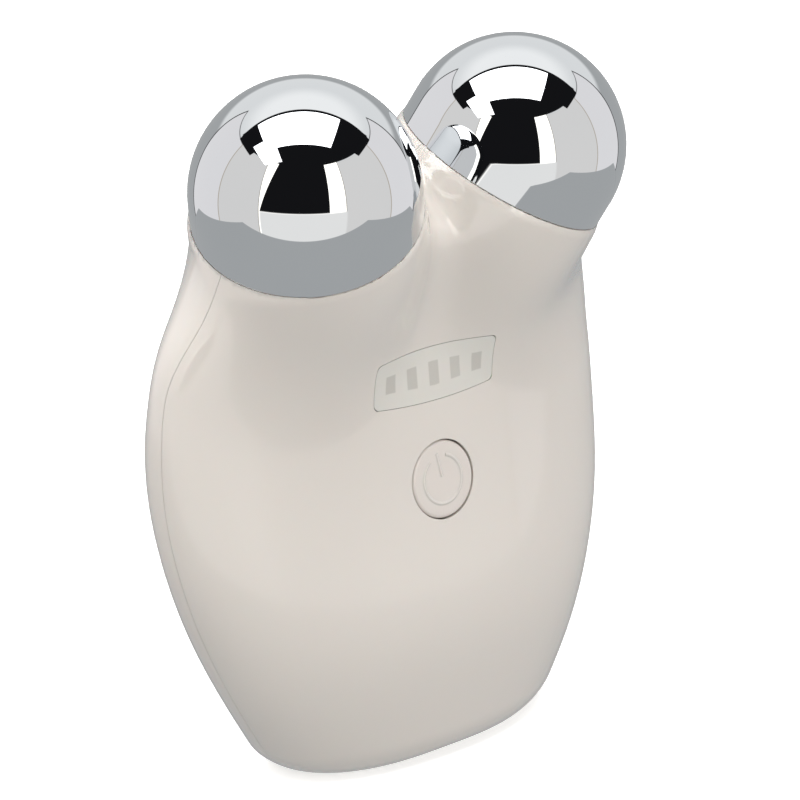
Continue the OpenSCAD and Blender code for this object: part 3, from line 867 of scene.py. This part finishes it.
    def solid(self, name: str, cell: float, level: float = 0.0) -> Object:
        """Makes the closed skin at a level of the field as an even mesh.

        Args:
            name: The mesh's name.
            cell: Size of its faces in mm.
            level: The field's value on it.

        Returns:
            The closed solid.
        """
        skin = self.rough()
        skin.name = skin.data.name = name
        apply_modifier(skin, "REMESH", mode="VOXEL", voxel_size=cell * MM)
        edges = np.empty(len(skin.data.edges) * 2, int)
        skin.data.edges.foreach_get("vertices", edges)
        first, second = edges.reshape(-1, 2).T
        points = self.settle(points_of(skin), level, self.rounds)
        neighbours = np.bincount(first, minlength=len(points)) + np.bincount(
            second, minlength=len(points)
        )
        for _ in range(self.rounds):
            total = np.zeros_like(points)
            np.add.at(total, first, points[second])
            np.add.at(total, second, points[first])
            points = 0.4 * points + 0.6 * total / neighbours[:, None]
            points = self.settle(points, level, 1)
        set_points(skin, self.settle(points, level, 3))
        face_outwards(skin)
        return skin

    def polish(self, piece: Object) -> None:
        """Gives the skin's corners the form's own normals, so that its gloss runs evenly.

        Args:
            piece: A piece cut from the skin.
        """
        smooth(piece)
        mesh = piece.data
        points = points_of(piece)
        slope = self.slope(points)
        slope /= np.maximum(np.linalg.norm(slope, axis=1, keepdims=True), 1e-9)
        on_skin = np.abs(self.value(points)) < 0.02
        corner = np.empty(len(mesh.loops), int)
        mesh.loops.foreach_get("vertex_index", corner)
        normals = np.empty(len(mesh.loops) * 3)
        mesh.corner_normals.foreach_get("vector", normals)
        normals = normals.reshape(-1, 3)
        sizes = np.empty(len(mesh.polygons), int)
        mesh.polygons.foreach_get("loop_total", sizes)
        faces = np.empty(len(mesh.polygons) * 3)
        mesh.polygon_normals.foreach_get("vector", faces)
        facing = np.repeat(faces.reshape(-1, 3), sizes, axis=0)
        wanted = slope[corner]
        along = on_skin[corner] & ((facing * wanted).sum(axis=1) > 0.8)
        normals[along] = wanted[along]
        mesh.normals_split_custom_set(normals.tolist())


# ---- The device's sub-assemblies ----


@dataclass(frozen=True)
class LightRow:
    """The five level lights as they show through the window, as fields of painted shade on the pane.
    """

    pitch: float = 4.0
    width: float = 1.8
    middle_l: float = 3.5
    end_l: float = 2.6
    height: float = 57.13
    row_end: float = 2.4  # where the row ends, in pitches from its middle
    softness: float = 0.12
    # Colour of the painted shade where a bar lies behind the window
    shade: str = "C3C0BA"


@dataclass(frozen=True)
class FacePlace:
    """The button's face on the front of the body, leaning back with it."""

    form: BodyForm
    height: float = 41.8
    lean: float = 10.0

    def place(self, up: float = 0.0) -> Matrix:
        """Gives the face's axes, with +Z out of it.

        Args:
            up: How far up along the face the axes stand, in mm.

        Returns:
            The placing matrix in metres.
        """
        middle = Vector((0, self.form.front(self.height), self.height)) * MM
        turn = Matrix.Rotation(math.radians(90 - self.lean), 4, "X")
        return Matrix.Translation(middle) @ turn @ Matrix.Translation((0, up * MM, 0))


@dataclass(frozen=True)
class WindowShape:
    """The window's outline: bowed long edges, straight ends and small round corners."""

    width: float = 22.0
    middle_h: float = 7.7
    end_h: float = 6.4
    corner: float = 1.0
    centre_z: float = 57.0
    corner_steps: int = 8
    edge_steps: int = 14

    def outline(self, grow: float, corner: float) -> list:
        """Lists the outline's points, anticlockwise.

        Args:
            grow: How far it stands outside the window, in mm.
            corner: Radius of its corners in mm.

        Returns:
            (x, y) points in mm.
        """
        half_w, half_h = self.width / 2 + grow, self.middle_h / 2 + grow
        sag = (self.middle_h - self.end_h) / 2
        bow = ((self.width / 2) ** 2 + sag**2) / (2 * sag) + grow
        x = half_w - corner
        y = half_h - bow + math.sqrt((bow - corner) ** 2 - x * x)
        swing = math.atan2(y - half_h + bow, x)
        turns = [swing * k / self.corner_steps for k in range(self.corner_steps + 1)]
        upper = [(x + corner * math.cos(g), y + corner * math.sin(g)) for g in turns]
        for k in range(1, self.edge_steps):
            g = swing + (math.pi / 2 - swing) * k / self.edge_steps
            upper.append((bow * math.cos(g), half_h - bow + bow * math.sin(g)))
        upper.append((0.0, half_h))
        left = [(-a, b) for a, b in reversed(upper[:-1])]
        top = upper + left
        return top + [(-a, -b) for a, b in top]

    def bar(self, face: FacePlace, grow: float, corner: float, low: float, high: float) -> Object:
        """Makes the outline a straight bar through the front wall.

        Args:
            face: The face that it stands square to.
            grow: How far it stands outside the window, in mm.
            corner: Radius of its corners in mm.
            low: Depth of its inner end, in mm.
            high: Height of its outer end, in mm.

        Returns:
            The closed bar.
        """
        ring = [(a * MM, b * MM, low * MM) for a, b in self.outline(grow, corner)]
        mesh = bpy.data.meshes.new("window_bar")
        mesh.from_pydata(ring, [(k, (k + 1) % len(ring)) for k in range(len(ring))], [])
        bar = bpy.data.objects.new("window_bar", mesh)
        bpy.context.scene.collection.objects.link(bar)
        with editing(bar):
            bpy.ops.mesh.edge_face_add()
            rise = (0, 0, (high - low) * MM)
            bpy.ops.mesh.extrude_region_move(TRANSFORM_OT_translate={"value": rise})
        face_outwards(bar)
        up = (self.centre_z - face.height) / math.cos(math.radians(face.lean))
        settle_place(bar, face.place(up))
        return bar


@dataclass
class Casing:
    """The two ivory shells with their window, screw wells and plugs."""

    form: BodyForm
    face: FacePlace
    window: WindowShape
    cell: float = 0.7
    wall: float = 2.0
    lip_h: float = 0.28
    lip_gap: float = 0.05
    seat_w: float = 1.6
    seat_h: float = 3.85
    seam_gap: float = 0.06
    seam_forward: float = 1.5
    button_hole_r: float = 5.75
    window_gap: float = 0.06
    plug_r: float = 2.4
    plug_gap: float = 0.1
    plug_foot: float = 4.8
    plug_sink: float = 0.12
    wells: tuple = ((26.5, 17.0), (31.0, 50.0))
    well_past_plug: float = 1.8
    past_back: float = 25.0
    past_front: float = 4.0
    pane_foot: float = -1.5
    opening_foot: float = -5.0
    opening_corner_cut: float = 0.2
    button_hole_top: float = 3.0
    arm_cut_top: float = 30.0
    arm_cut_margin: float = 2.0
    socket_r: float = 3.1
    socket_hole: tuple = (-2.0, 4.0)
    foot_pocket: tuple = (4.9, 14.1, 6.1, 1.1)  # inner and outer X, half depth, height
    foot_y: float = -0.25
    foot_cut: float = -2.0
    seam_turn: tuple = (52.0, 18.0)  # where the seam turns to the arms, and over what height
    seam_grid: tuple = (100, 120)
    seam_foot: float = -5.0
    seam_reach: float = 60.0

    def well_place(self, x: float, z: float) -> Matrix:
        """Gives a case screw's axis, with +Z towards the back, for its x and z in mm."""
        y = float(spline(self.form.heights, self.form.middles, np.array([z]))[0])
        return Matrix.Translation(Vector((x, y, z)) * MM) @ Matrix.Rotation(-math.pi / 2, 4, "X")

    def all_wells(self) -> list:
        """Lists the four case screws' axes."""
        return [self.well_place(s.value * x, z) for s in Side for x, z in self.wells]

    def body(self, skin: Object) -> Object:
        """Hollows the skin and cuts every opening but the seam.

        Args:
            skin: The body's closed skin.

        Returns:
            The hollow body in one piece.
        """
        body = copy_of(skin, "hollow_body")
        carve(body, self.form.solid("hollow", 2 * self.cell, -self.wall), Cut.TAKE_AWAY)
        domes = self.form.domes
        for side in Side:
            place = domes.place(side)
            cuts = (
                (domes.rim_r + self.arm_cut_margin, self.lip_h - domes.rim_depth),
                (domes.radius + self.lip_gap, -domes.rim_depth),
                (domes.radius - self.seat_w, -domes.rim_depth - self.seat_h),
            )
            for radius, foot in cuts:
                cutter = drum(radius, foot, self.arm_cut_top, place, 180)
                carve(body, cutter, Cut.TAKE_AWAY)
        corner = self.window.corner - self.opening_corner_cut
        cutters = [
            self.window.bar(
                self.face, self.window_gap, corner, self.opening_foot, self.past_front
            ),
            drum(
                self.button_hole_r, self.opening_foot, self.button_hole_top, self.face.place(), 128
            ),
        ]
        well_r, well_foot = self.plug_r + self.plug_gap, self.plug_foot - self.well_past_plug
        cutters += [drum(well_r, well_foot, self.past_back, p, 64) for p in self.all_wells()]
        cutters.append(drum(self.socket_r, *self.socket_hole, Matrix.Identity(4), 64))
        inner, outer, half_depth, depth = self.foot_pocket
        for side in Side:
            x = sorted((side.value * inner, side.value * outer))
            low = (x[0], self.foot_y - half_depth, self.foot_cut)
            cutters.append(block(low, (x[1], self.foot_y + half_depth, depth)))
        for cutter in cutters:
            carve(body, cutter, Cut.TAKE_AWAY)
        return body

    def seam(self, x: np.ndarray, z: np.ndarray) -> np.ndarray:
        """Gives the seam surface's Y: ahead of the trunk's middle, then through the arms' axes.

        Args:
            x: Places across, in mm.
            z: Heights, in mm.

        Returns:
            The surface's Y in mm.
        """
        form = self.form
        level = np.clip(z, form.heights[0], form.heights[-1])
        trunk = spline(form.heights, form.middles, level) - self.seam_forward
        place = np.array(form.domes.place(Side.RIGHT))
        middle, across = place[:3, 3] / MM, place[:3, 1]
        arm = middle[1] - (
            (np.abs(x) - middle[0]) * across[0] + (z - middle[2]) * across[2]
        ) / across[1]
        start, length = self.seam_turn
        share = np.clip((z - start) / length, 0, 1)
        share = share * share * (3 - 2 * share)
        return trunk + (arm - trunk) * share

    def front_half(self, shift: float) -> Object:
        """Makes the solid in front of the seam.

        Args:
            shift: How far it reaches behind the seam, in mm.

        Returns:
            A closed cutter whose back is the seam surface.
        """
        deselect()
        wide, tall = self.seam_grid
        bpy.ops.mesh.primitive_grid_add(x_subdivisions=wide, y_subdivisions=tall, size=1)
        half = bpy.context.object
        across, up, _ = points_of(half).T * MM
        x, z = across * wide, (up + 0.5) * tall + self.seam_foot
        set_points(half, np.stack([x, self.seam(x, z) + shift, z], axis=1))
        with editing(half):
            ahead = (0, -self.seam_reach * MM, 0)
            bpy.ops.mesh.extrude_region_move(TRANSFORM_OT_translate={"value": ahead})
        face_outwards(half)
        return half

    def build(self) -> None:
        """Builds the shells, the window and the plugs and places them on the body."""
        skin = self.form.solid("skin", self.cell)
        LOG.info("skin: %d faces", len(skin.data.polygons))
        ivory = IVORY.material()
        body = self.body(skin)
        front = copy_of(body, "front_casing")
        carve(front, self.front_half(-self.seam_gap / 2), Cut.KEEP_INSIDE)
        carve(body, self.front_half(self.seam_gap / 2), Cut.TAKE_AWAY)
        body.name = body.data.name = "rear_casing"
        for shell, node in ((front, "front_shell"), (body, "rear_shell")):
            self.finish(shell, ivory, node, "ivory_abs")
        pane = self.window.bar(
            self.face, 0.0, self.window.corner, self.pane_foot, self.past_front
        )
        pane.name = pane.data.name = "window_pane"
        carve(pane, skin, Cut.KEEP_INSIDE, keep_cutter=True)
        self.finish(pane, MilkyWindow(LightRow()).material(), "led_window", "milky_acrylic")
        self.plugs(skin)
        discard(skin)

    def plugs(self, skin: Object) -> None:
        """Builds the four screw plugs, just below the rear shell's surface.

        Args:
            skin: The body's closed skin.
        """
        rubber = PLUG_RUBBER.material()
        for number, place in enumerate(self.all_wells(), 1):
            plug = drum(self.plug_r, self.plug_foot, self.past_back, place, 64)
            plug.name = plug.data.name = f"screw_plug_{number}"
            carve(plug, skin, Cut.KEEP_INSIDE, keep_cutter=True)
            set_points(plug, points_of(plug) - [0, self.plug_sink, 0])
            smooth(plug)
            dress(plug, rubber)
            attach(plug, "body")
            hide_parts("screw_plugs")
        LOG.info("screw plugs: %d", len(self.all_wells()))

    def finish(self, piece: Object, material: bpy.types.Material, node: str, slot: str) -> None:
        """Polishes and dresses a piece of the skin and has it stand for its CAD node.

        Args:
            piece: The piece.
            material: Its material.
            node: The CAD node that it stands for.
            slot: The record's slot of its finish; not used.
        """
        self.form.polish(piece)
        dress(piece, material)
        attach(piece, "body")
        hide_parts(node)
        LOG.info("%s: %d faces", piece.name, len(piece.data.polygons))


@dataclass
class Electrodes:
    """The two chrome domes: a half ball on a straight skirt, with spigot and screw boss."""

    domes: DomePlace
    wall: float = 1.4
    spigot_r: float = 14.3
    spigot_l: float = 2.6
    boss_r: float = 3.0
    boss_foot: float = -2.2
    edge: float = 0.15
    segments: int = 180

    def profile(self) -> list:
        """Lists the dome's profile from the boss inside to the pole outside."""
        r, inner, skirt = self.domes.radius, self.domes.radius - self.wall, self.domes.skirt
        start = math.degrees(math.acos(self.boss_r / inner))
        spigot_in = self.spigot_r - self.wall
        foot = -skirt - self.spigot_l
        return (
            [(0.3, self.boss_foot), (self.boss_r, self.boss_foot)]
            + [(self.boss_r, inner * math.sin(math.radians(start)))]
            + arc(inner, start, 0, 14)
            + [(inner, -skirt + 0.5), (spigot_in, -skirt + 0.5), (spigot_in, foot)]
            + [(self.spigot_r, foot), (self.spigot_r, -skirt), (r - self.edge, -skirt)]
            + [(r, -skirt + self.edge), (r, 0)]
            + arc(r, 0, 90, 60)
        )

    def build(self) -> None:
        """Builds both domes and places them on the body."""
        chrome = CHROME.material()
        for side in Side:
            name = side.name.lower()
            place = self.domes.place(side)
            dome = turned(f"{name}_dome", self.profile(), self.segments, place)
            smooth(dome, 30)
            dress(dome, chrome)
            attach(dome, "body")
            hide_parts(f"{name}_electrode_dome")
        LOG.info("domes: %d faces each", len(dome.data.polygons))


@dataclass
class PowerButton:
    """The round button cap with its soft edge, guide flange, stem and raised power mark."""

    face: FacePlace
    radius: float = 5.6
    edge: float = 0.5
    dish: float = 0.08
    flange_r: float = 6.6
    flange_top: float = -2.3
    flange_foot: float = -3.2
    stem_r: float = 1.4
    stem_foot: float = -3.8
    mark_r: float = 3.5
    mark_line: float = 0.6
    mark_gap: float = 50.0
    mark_turn: float = 10.0
    mark_proud: float = 0.13

    def profile(self) -> list:
        """Lists the cap's profile from the stem's foot to the middle of its face."""
        edge = [
            (self.radius - self.edge * (1 - math.cos(g)), self.edge * (math.sin(g) - 1))
            for g in (math.radians(k * 15) for k in range(7))
        ]
        face = [
            (self.radius * s, -self.dish * (1 - (s / 0.93) ** 2)) for s in (0.8, 0.6, 0.4, 0.2, 0.05)
        ]
        return (
            [(0.3, self.stem_foot), (self.stem_r, self.stem_foot)]
            + [(self.stem_r, self.flange_foot), (self.flange_r, self.flange_foot)]
            + [(self.flange_r, self.flange_top), (self.radius, self.flange_top)]
            + edge
            + face
            + [(0, -self.dish)]
        )

    def mark(self) -> list:
        """Makes the power mark's open ring and bar as round cords sunk into the face.

        Returns:
            The two pieces, on the face's own axes.
        """
        cord_r = self.mark_line / 2
        sunk = (self.mark_proud - cord_r - self.dish / 2) * MM
        deselect()
        bpy.ops.mesh.primitive_circle_add(
            vertices=20, radius=cord_r * MM, location=(self.mark_r * MM, 0, 0),
            rotation=(math.pi / 2, 0, 0), fill_type="NOTHING",
        )
        ring = bpy.context.object
        settle_place(ring, Matrix.Identity(4))
        swing = math.radians(360 - self.mark_gap)
        with editing(ring):
            bpy.ops.mesh.spin(steps=90, angle=swing, center=(0, 0, 0), axis=(0, 0, 1))
            bpy.ops.mesh.select_all(action="SELECT")
            bpy.ops.mesh.fill_holes(sides=0)
        face_outwards(ring)
        heavy = points_of(ring).mean(axis=0)
        opening = math.degrees(math.atan2(-heavy[1], -heavy[0]))
        turn = Matrix.Rotation(math.radians(90 + self.mark_turn - opening), 4, "Z")
        settle_place(ring, Matrix.Translation((0, 0, sunk)) @ turn)
        lying = Matrix.Rotation(-math.pi / 2, 4, "X")
        upright = Matrix.Rotation(math.radians(self.mark_turn), 4, "Z")
        place = Matrix.Translation((0, 0, sunk)) @ upright @ lying
        return [ring, drum(cord_r, 0.4, 0.4 + self.mark_r, place, 20)]

    def build(self) -> None:
        """Builds the button and has it ride with its CAD body."""
        cap = join([turned("button_cap", self.profile(), 128, Matrix.Identity(4)), *self.mark()])
        settle_place(cap, self.face.place())
        smooth(cap, 40)
        dress(cap, BUTTON_IVORY.material())
        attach(cap, "button")
        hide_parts("power_button")
        LOG.info("button: %d faces", len(cap.data.polygons))


@dataclass
class Insides:
    """The pieces that keep their CAD shape, by the finish that each gets."""

    def finishes(self) -> list:
        """Lists each finish with the CAD nodes that it dresses."""
        arms = ("left", "right")
        return [
            # Natural nylon: an off-white, half-matt moulding
            (Finish("natural_nylon", "E4DFD2", "DDD8CB", 0.45, Relief.SPARKED, 0.4, 0.01),
             [f"{a}_dome_carrier" for a in arms] + ["battery_header", "battery_plug"]),
            # Silicone rubber: dark grey and soft-looking, with no hard highlight
            (Finish("grey_silicone_rubber", "47474A", "404043", 0.6, Relief.SPARKED, 0.3, 0.01),
             [f"{a}_seal_ring" for a in arms]),
            # Zinc-plated screw steel: bright with turned lines
            (Finish("zinc_plated_steel", "C9CACB", "BDBEC0", 0.28, Relief.DRAWN, 0.25, 0.004,
                    metallic=1.0),
             [f"{a}_dome_screw" for a in arms] + ["board_screws", "case_screws"]),
            # Rolled brass strip: pale gold with fine rolling lines
            (Finish("rolled_brass", "D8B765", "CDAA57", 0.3, Relief.DRAWN, 0.2, 0.004,
                    metallic=1.0),
             [f"{a}_contact_tag" for a in arms] + ["socket_pin"]),
            # PVC lead covering: smooth, with a dull gloss
            (Finish("white_pvc_covering", "E2E1DE", "DAD9D6", 0.4, Relief.MOULDED, 2, 0.01),
             [f"{a}_electrode_lead" for a in arms]),
            (Finish("red_pvc_covering", "B5221D", "A81D19", 0.4, Relief.MOULDED, 2, 0.01),
             ["battery_lead_red", "socket_leads"]),
            (Finish("black_pvc_covering", "222224", "1C1C1E", 0.4, Relief.MOULDED, 2, 0.01),
             ["battery_lead_black"]),
            # White polycarbonate: an opaque light guide, matt so that light spreads
            (Finish("white_polycarbonate", "ECEBE6", "E6E5E0", 0.5, Relief.SPARKED, 0.4, 0.01),
             ["light_mask"]),
            # LED epoxy with phosphor: a clear skin over yellowish white
            (Finish("led_epoxy", "DAD7B8", "D2CEA6", 0.15, Relief.MOULDED, 1, 0.004, coat=0.6),
             ["leds"]),
            # Glass-epoxy laminate under green solder mask: the weave shows faintly
            (Finish("solder_masked_laminate", "1B6B43", "165C39", 0.3, Relief.SPARKED, 0.6, 0.02,
                    coat=0.4),
             ["main_board"]),
            # Black moulding epoxy of chips: matt, with a fine eroded grain
            (Finish("black_moulding_epoxy", "26262A", "1E1E21", 0.55, Relief.SPARKED, 0.2, 0.01),
             ["microcontroller", "charge_chip", "chip_resistors"]),
            # Black nylon of the switch, the buzzer and the socket
            (Finish("black_nylon", "1D1D1F", "252527", 0.4, Relief.SPARKED, 0.3, 0.01),
             ["switch_body", "switch_plunger", "buzzer", "socket_housing"]),
            # Sintered ferrite: dark grey and dull, with a grainy break
            (Finish("sintered_ferrite", "3A3A3D", "323235", 0.65, Relief.SPARKED, 0.5, 0.03),
             ["transformer_core"]),
            # Yellow polyester tape over the winding: glossy with wrap marks
            (Finish("yellow_winding_tape", "D8B23C", "CFA62F", 0.25, Relief.DRAWN, 1.2, 0.02,
                    coat=0.3),
             ["transformer_winding"]),
            # Drawn aluminium cans of the capacitors
            (Finish("drawn_aluminium", "BFC2C6", "B4B7BB", 0.3, Relief.DRAWN, 0.3, 0.004,
                    metallic=1.0),
             ["capacitors"]),
            # Aluminium laminate foil of the pouch cell: soft, slightly wrinkled metal
            (Finish("laminate_foil", "C6C8CA", "B8BABC", 0.35, Relief.MOULDED, 3, 0.12,
                    metallic=0.85),
             ["battery_cell"]),
            # White foam tape with open pores
            (Finish("foam_tape", "E3E2DE", "D8D7D3", 0.9, Relief.FOAM, 0.35, 0.06),
             ["battery_tape"]),
            # Thermoplastic rubber feet: matt warm grey that grips
            (Finish("grey_foot_rubber", "A9A7A2", "9F9D98", 0.75, Relief.SPARKED, 0.5, 0.03),
             ["foot_pads"]),
        ]

    def build(self, nodes: dict) -> None:
        """Dresses every CAD node that stays in view.

        Args:
            nodes: The CAD nodes by name.
        """
        for finish, names in self.finishes():
            material = finish.material()
            for name in names:
                dress(nodes[name], material)
        LOG.info("inner pieces: %d finishes", len(self.finishes()))


# ---- Studio ----


class Screen(Enum):
    """How a studio panel's edges are given."""

    WALL = "turn from the camera's side and height above the horizon, in degrees"
    CEILING = "place on a ceiling one unit above the device"


@dataclass(frozen=True)
class Panel:
    """One even field of a light tent, as seen from the device.

    Attributes:
        screen: How its edges are given.
        across: Left and right edge.
        up: Lower and upper edge.
        shade: Its sRGB hex colour.
        power: What its colour is multiplied by.
        soft: Width of its edges' softness.
        lean: How far its left edge moves right for each degree up from the horizon.
    """

    screen: Screen
    across: tuple
    up: tuple
    shade: str
    power: float = 1.0
    soft: float = 0.8
    lean: float = 0.0


@dataclass
class Studio:
    """A light tent of pale panels, the pale floor and the camera at the photograph's place."""

    camera_at: tuple = (-305.293, -352.650, 213.865)
    camera_right: tuple = (0.75611, -0.65444, 0.0)
    camera_up: tuple = (0.21553, 0.24901, 0.94422)
    lens: float = 156.27
    floor_w: float = 6000.0
    floor_lift: float = 0.4
    fill: float = 1.36
    bounce: float = 1.4
    table_shade: str = "A9ABAC"
    even_shade: str = "E6E7E7"
    table_front: float = 165.0
    table_back: float = 154.0
    table_side: float = 277.0
    table_edge: float = 2.0
    tent: list = field(
        default_factory=lambda: [
            Panel(Screen.WALL, (-200, 200), (17, 95), "E6E7E7", soft=6.0),
            Panel(Screen.WALL, (-200, 200), (48, 95), "F8F8F7", 1.05, 20.0),
            Panel(Screen.WALL, (-137, 131.4), (-90, 39), "202020"),
            Panel(Screen.WALL, (-135.6, 130), (-90, 38.4), "E8E6E7"),
            Panel(Screen.WALL, (-91.6, 92.6), (-90, 40), "B5AA9B"),
            Panel(Screen.WALL, (-90.6, 91.6), (-90, 40), "DFDDDB"),
            Panel(Screen.WALL, (-44.5, 41.5), (-90, 44), "8E867C"),
            Panel(Screen.WALL, (-43.8, 40.8), (-90, 45), "FFFBF2", 2.2),
            Panel(Screen.WALL, (-42, 24.8), (-4.6, 46), "151517", lean=0.26),
            Panel(Screen.WALL, (-43, 42), (-90, -4.6), "F0EFED", soft=2.0),
            Panel(Screen.WALL, (-104, 104), (41, 95), "151517"),
            Panel(Screen.CEILING, (-1.25, 1.25), (-0.25, 0.4), "151517", soft=0.01),
            Panel(Screen.CEILING, (-1.0, -0.5), (0.25, 0.92), "FFFFFF", 3.0, 0.01),
            Panel(Screen.CEILING, (-0.71, 0.48), (-0.19, 0.5), "FFFFFF", 4.0, 0.01),
        ]
    )

    def build(self) -> None:
        """Builds the floor, the tent, the soft lights and the camera."""
        bpy.context.scene.view_settings.view_transform = "Standard"
        self.place_camera()
        self.light_tent()
        self.lay_floor()
        self.soft_lights()
        LOG.info("studio: %d panels", len(self.tent))

    def place_camera(self) -> None:
        """Sets the camera at the photograph's viewing angle."""
        right, up = Vector(self.camera_right), Vector(self.camera_up)
        turn = Matrix((right, up, right.cross(up))).transposed().to_4x4()
        deselect()
        bpy.ops.object.camera_add()
        camera = bpy.context.object
        camera.matrix_world = Matrix.Translation(Vector(self.camera_at) * MM) @ turn
        camera.data.lens = self.lens
        camera.data.sensor_width = 36
        camera.data.clip_start, camera.data.clip_end = 0.01, 20
        bpy.context.scene.camera = camera

    def measures(self, tree: Tree, direction: Socket) -> dict:
        """Adds the angles and ceiling places that the panels' edges are compared with.

        Args:
            tree: The world's tree.
            direction: The direction looked in.

        Returns:
            For each kind of screen, the place across and the place up.
        """
        ahead, beside = self.floor_axes(tree, direction)
        above = share_along(tree, direction, Vector((0, 0, 1)))
        turn = reckon(tree, "DEGREES", reckon(tree, "ARCTAN2", beside, ahead))
        height = reckon(tree, "DEGREES", reckon(tree, "ARCSINE", above))
        roof = reckon(tree, "MAXIMUM", above, 0.02)
        ceiling = tuple(reckon(tree, "DIVIDE", place, roof) for place in (beside, ahead))
        return {Screen.WALL: (turn, height), Screen.CEILING: ceiling}

    def floor_axes(self, tree: Tree, vector: Socket) -> tuple:
        """Adds a vector's shares towards the camera and to its right, along the floor.

        Args:
            tree: The material's or the world's tree.
            vector: The vector.

        Returns:
            The two shares.
        """
        near = Vector((self.camera_at[0], self.camera_at[1], 0)).normalized()
        axes = (near, Vector(self.camera_right))
        return tuple(share_along(tree, vector, axis) for axis in axes)

    def light_tent(self) -> None:
        """Makes the world: the tent's panels painted one over the other."""
        world = bpy.data.worlds.new("light_tent")
        bpy.context.scene.world = world
        tree = fresh_tree(world)
        direction = add_node(tree, "ShaderNodeTexCoord").outputs["Generated"]
        measures = self.measures(tree, direction)
        shown = add_node(tree, "ShaderNodeRGB").outputs[0]
        shown.default_value = linear(self.table_shade)
        for panel in self.tent:
            across, height = measures[panel.screen]
            slid = reckon(tree, "MULTIPLY_ADD", height, -panel.lean, across)
            (left, right), (low, high) = panel.across, panel.up
            rising, falling = (0.0, 1.0), (1.0, 0.0)
            edges = (
                (slid, left, rising), (across, right, falling),
                (height, low, rising), (height, high, falling),
            )
            mask = 1.0
            for value, edge, after in edges:
                before = (edge - panel.soft / 2, edge + panel.soft / 2)
                step = remap(tree, value, after, before, "SMOOTHSTEP")
                mask = reckon(tree, "MULTIPLY", mask, step)
            shade = tuple(c * panel.power for c in linear(panel.shade)[:3]) + (1.0,)
            shown = mix_colours(tree, mask, shown, shade)
        rays = add_node(tree, "ShaderNodeLightPath").outputs
        # Light that reaches the body by way of the chrome comes from one even shade. The picture
        # hardly changes with it: the grain on the web between the domes stays.
        by_chrome = add_node(
            tree, "ShaderNodeMath", {"operation": "MULTIPLY", "use_clamp": True},
            {0: rays["Is Glossy Ray"], 1: rays["Diffuse Depth"]},
        ).outputs[0]
        shown = mix_colours(tree, by_chrome, shown, linear(self.even_shade))
        strength = remap(tree, rays["Is Diffuse Ray"], (1.0, self.fill))
        lit = add_node(tree, "ShaderNodeBackground", {}, {"Color": shown, "Strength": strength})
        pale = add_node(tree, "ShaderNodeBackground", {}, {"Color": (1, 1, 1, 1), "Strength": 1.0})
        both = mix_shaders(tree, rays["Is Camera Ray"], lit, pale)
        add_node(tree, "ShaderNodeOutputWorld", {}, {"Surface": both.outputs[0]})

    def lay_floor(self) -> None:
        """Lays the floor: plain paper to the camera and a grey table to mirrors and light."""
        deselect()
        bpy.ops.mesh.primitive_plane_add(size=self.floor_w * MM, location=(0, 0, 0))
        floor = bpy.context.object
        floor.name = "pale_floor"
        made = bpy.data.materials.new("pale_paper_floor")
        tree = fresh_tree(made)
        paper = add_node(
            tree, "ShaderNodeBsdfDiffuse", {}, {"Color": linear("F8F8F8"), "Roughness": 1.0}
        )
        rays = add_node(tree, "ShaderNodeLightPath").outputs
        bounce = remap(tree, rays["Is Diffuse Ray"], (1.0, self.bounce))
        table = add_node(
            tree, "ShaderNodeEmission", {},
            {"Color": linear(self.table_shade), "Strength": bounce},
        )
        place = add_node(tree, "ShaderNodeTexCoord").outputs["Object"]
        ahead, beside = self.floor_axes(tree, place)
        edges = (
            (ahead, self.table_front),
            (reckon(tree, "MULTIPLY", ahead, -1.0), self.table_back),
            (reckon(tree, "ABSOLUTE", beside), self.table_side),
        )
        past_edge = 0.0
        for value, reach in edges:
            before = ((reach - self.table_edge) * MM, (reach + self.table_edge) * MM)
            past = remap(tree, value, (0.0, 1.0), before)
            past_edge = reckon(tree, "MAXIMUM", past_edge, past)
        open_air = add_node(tree, "ShaderNodeBsdfTransparent")
        table = mix_shaders(tree, past_edge, table, open_air)
        lift = add_node(
            tree, "ShaderNodeEmission", {}, {"Color": linear("FFFFFF"), "Strength": self.floor_lift}
        )
        lit = add_node(
            tree, "ShaderNodeAddShader", {}, {0: paper.outputs[0], 1: lift.outputs[0]}
        )
        both = mix_shaders(tree, rays["Is Camera Ray"], table, lit)
        add_node(tree, "ShaderNodeOutputMaterial", {}, {"Surface": both.outputs[0]})
        dress(floor, made)

    def soft_lights(self) -> None:
        """Hangs the soft lights that fill the tent; mirrors show only the tent itself."""
        aim = Vector((0, 0, 0.05))
        hung = (
            ("left_softbox", (-0.8, -0.9, 0.3), 0.8, 1.3),
            ("right_softbox", (0.5, -1.15, 0.25), 0.8, 1.9),
            ("back_softbox", (0.2, 1.2, 0.5), 0.8, 1.6),
            ("top_softbox", (0.0, 0.1, 1.3), 1.0, 0.8),
        )
        for name, at, size, power in hung:
            deselect()
            bpy.ops.object.light_add(type="AREA", location=at)
            light = bpy.context.object
            light.name = name
            light.data.size = size
            light.data.energy = power
            light.rotation_euler = (aim - Vector(at)).to_track_quat("-Z", "Y").to_euler()
            light.visible_glossy = False


def main() -> None:
    """Builds the device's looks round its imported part."""
    logging.basicConfig(level=logging.INFO, format="%(message)s")
    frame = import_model()
    form = BodyForm()
    face = FacePlace(form)
    Casing(form, face, WindowShape()).build()
    Electrodes(form.domes).build()
    PowerButton(face).build()
    Insides().build(frame["nodes"])
    Studio().build()


if __name__ == "__main__":
    main()
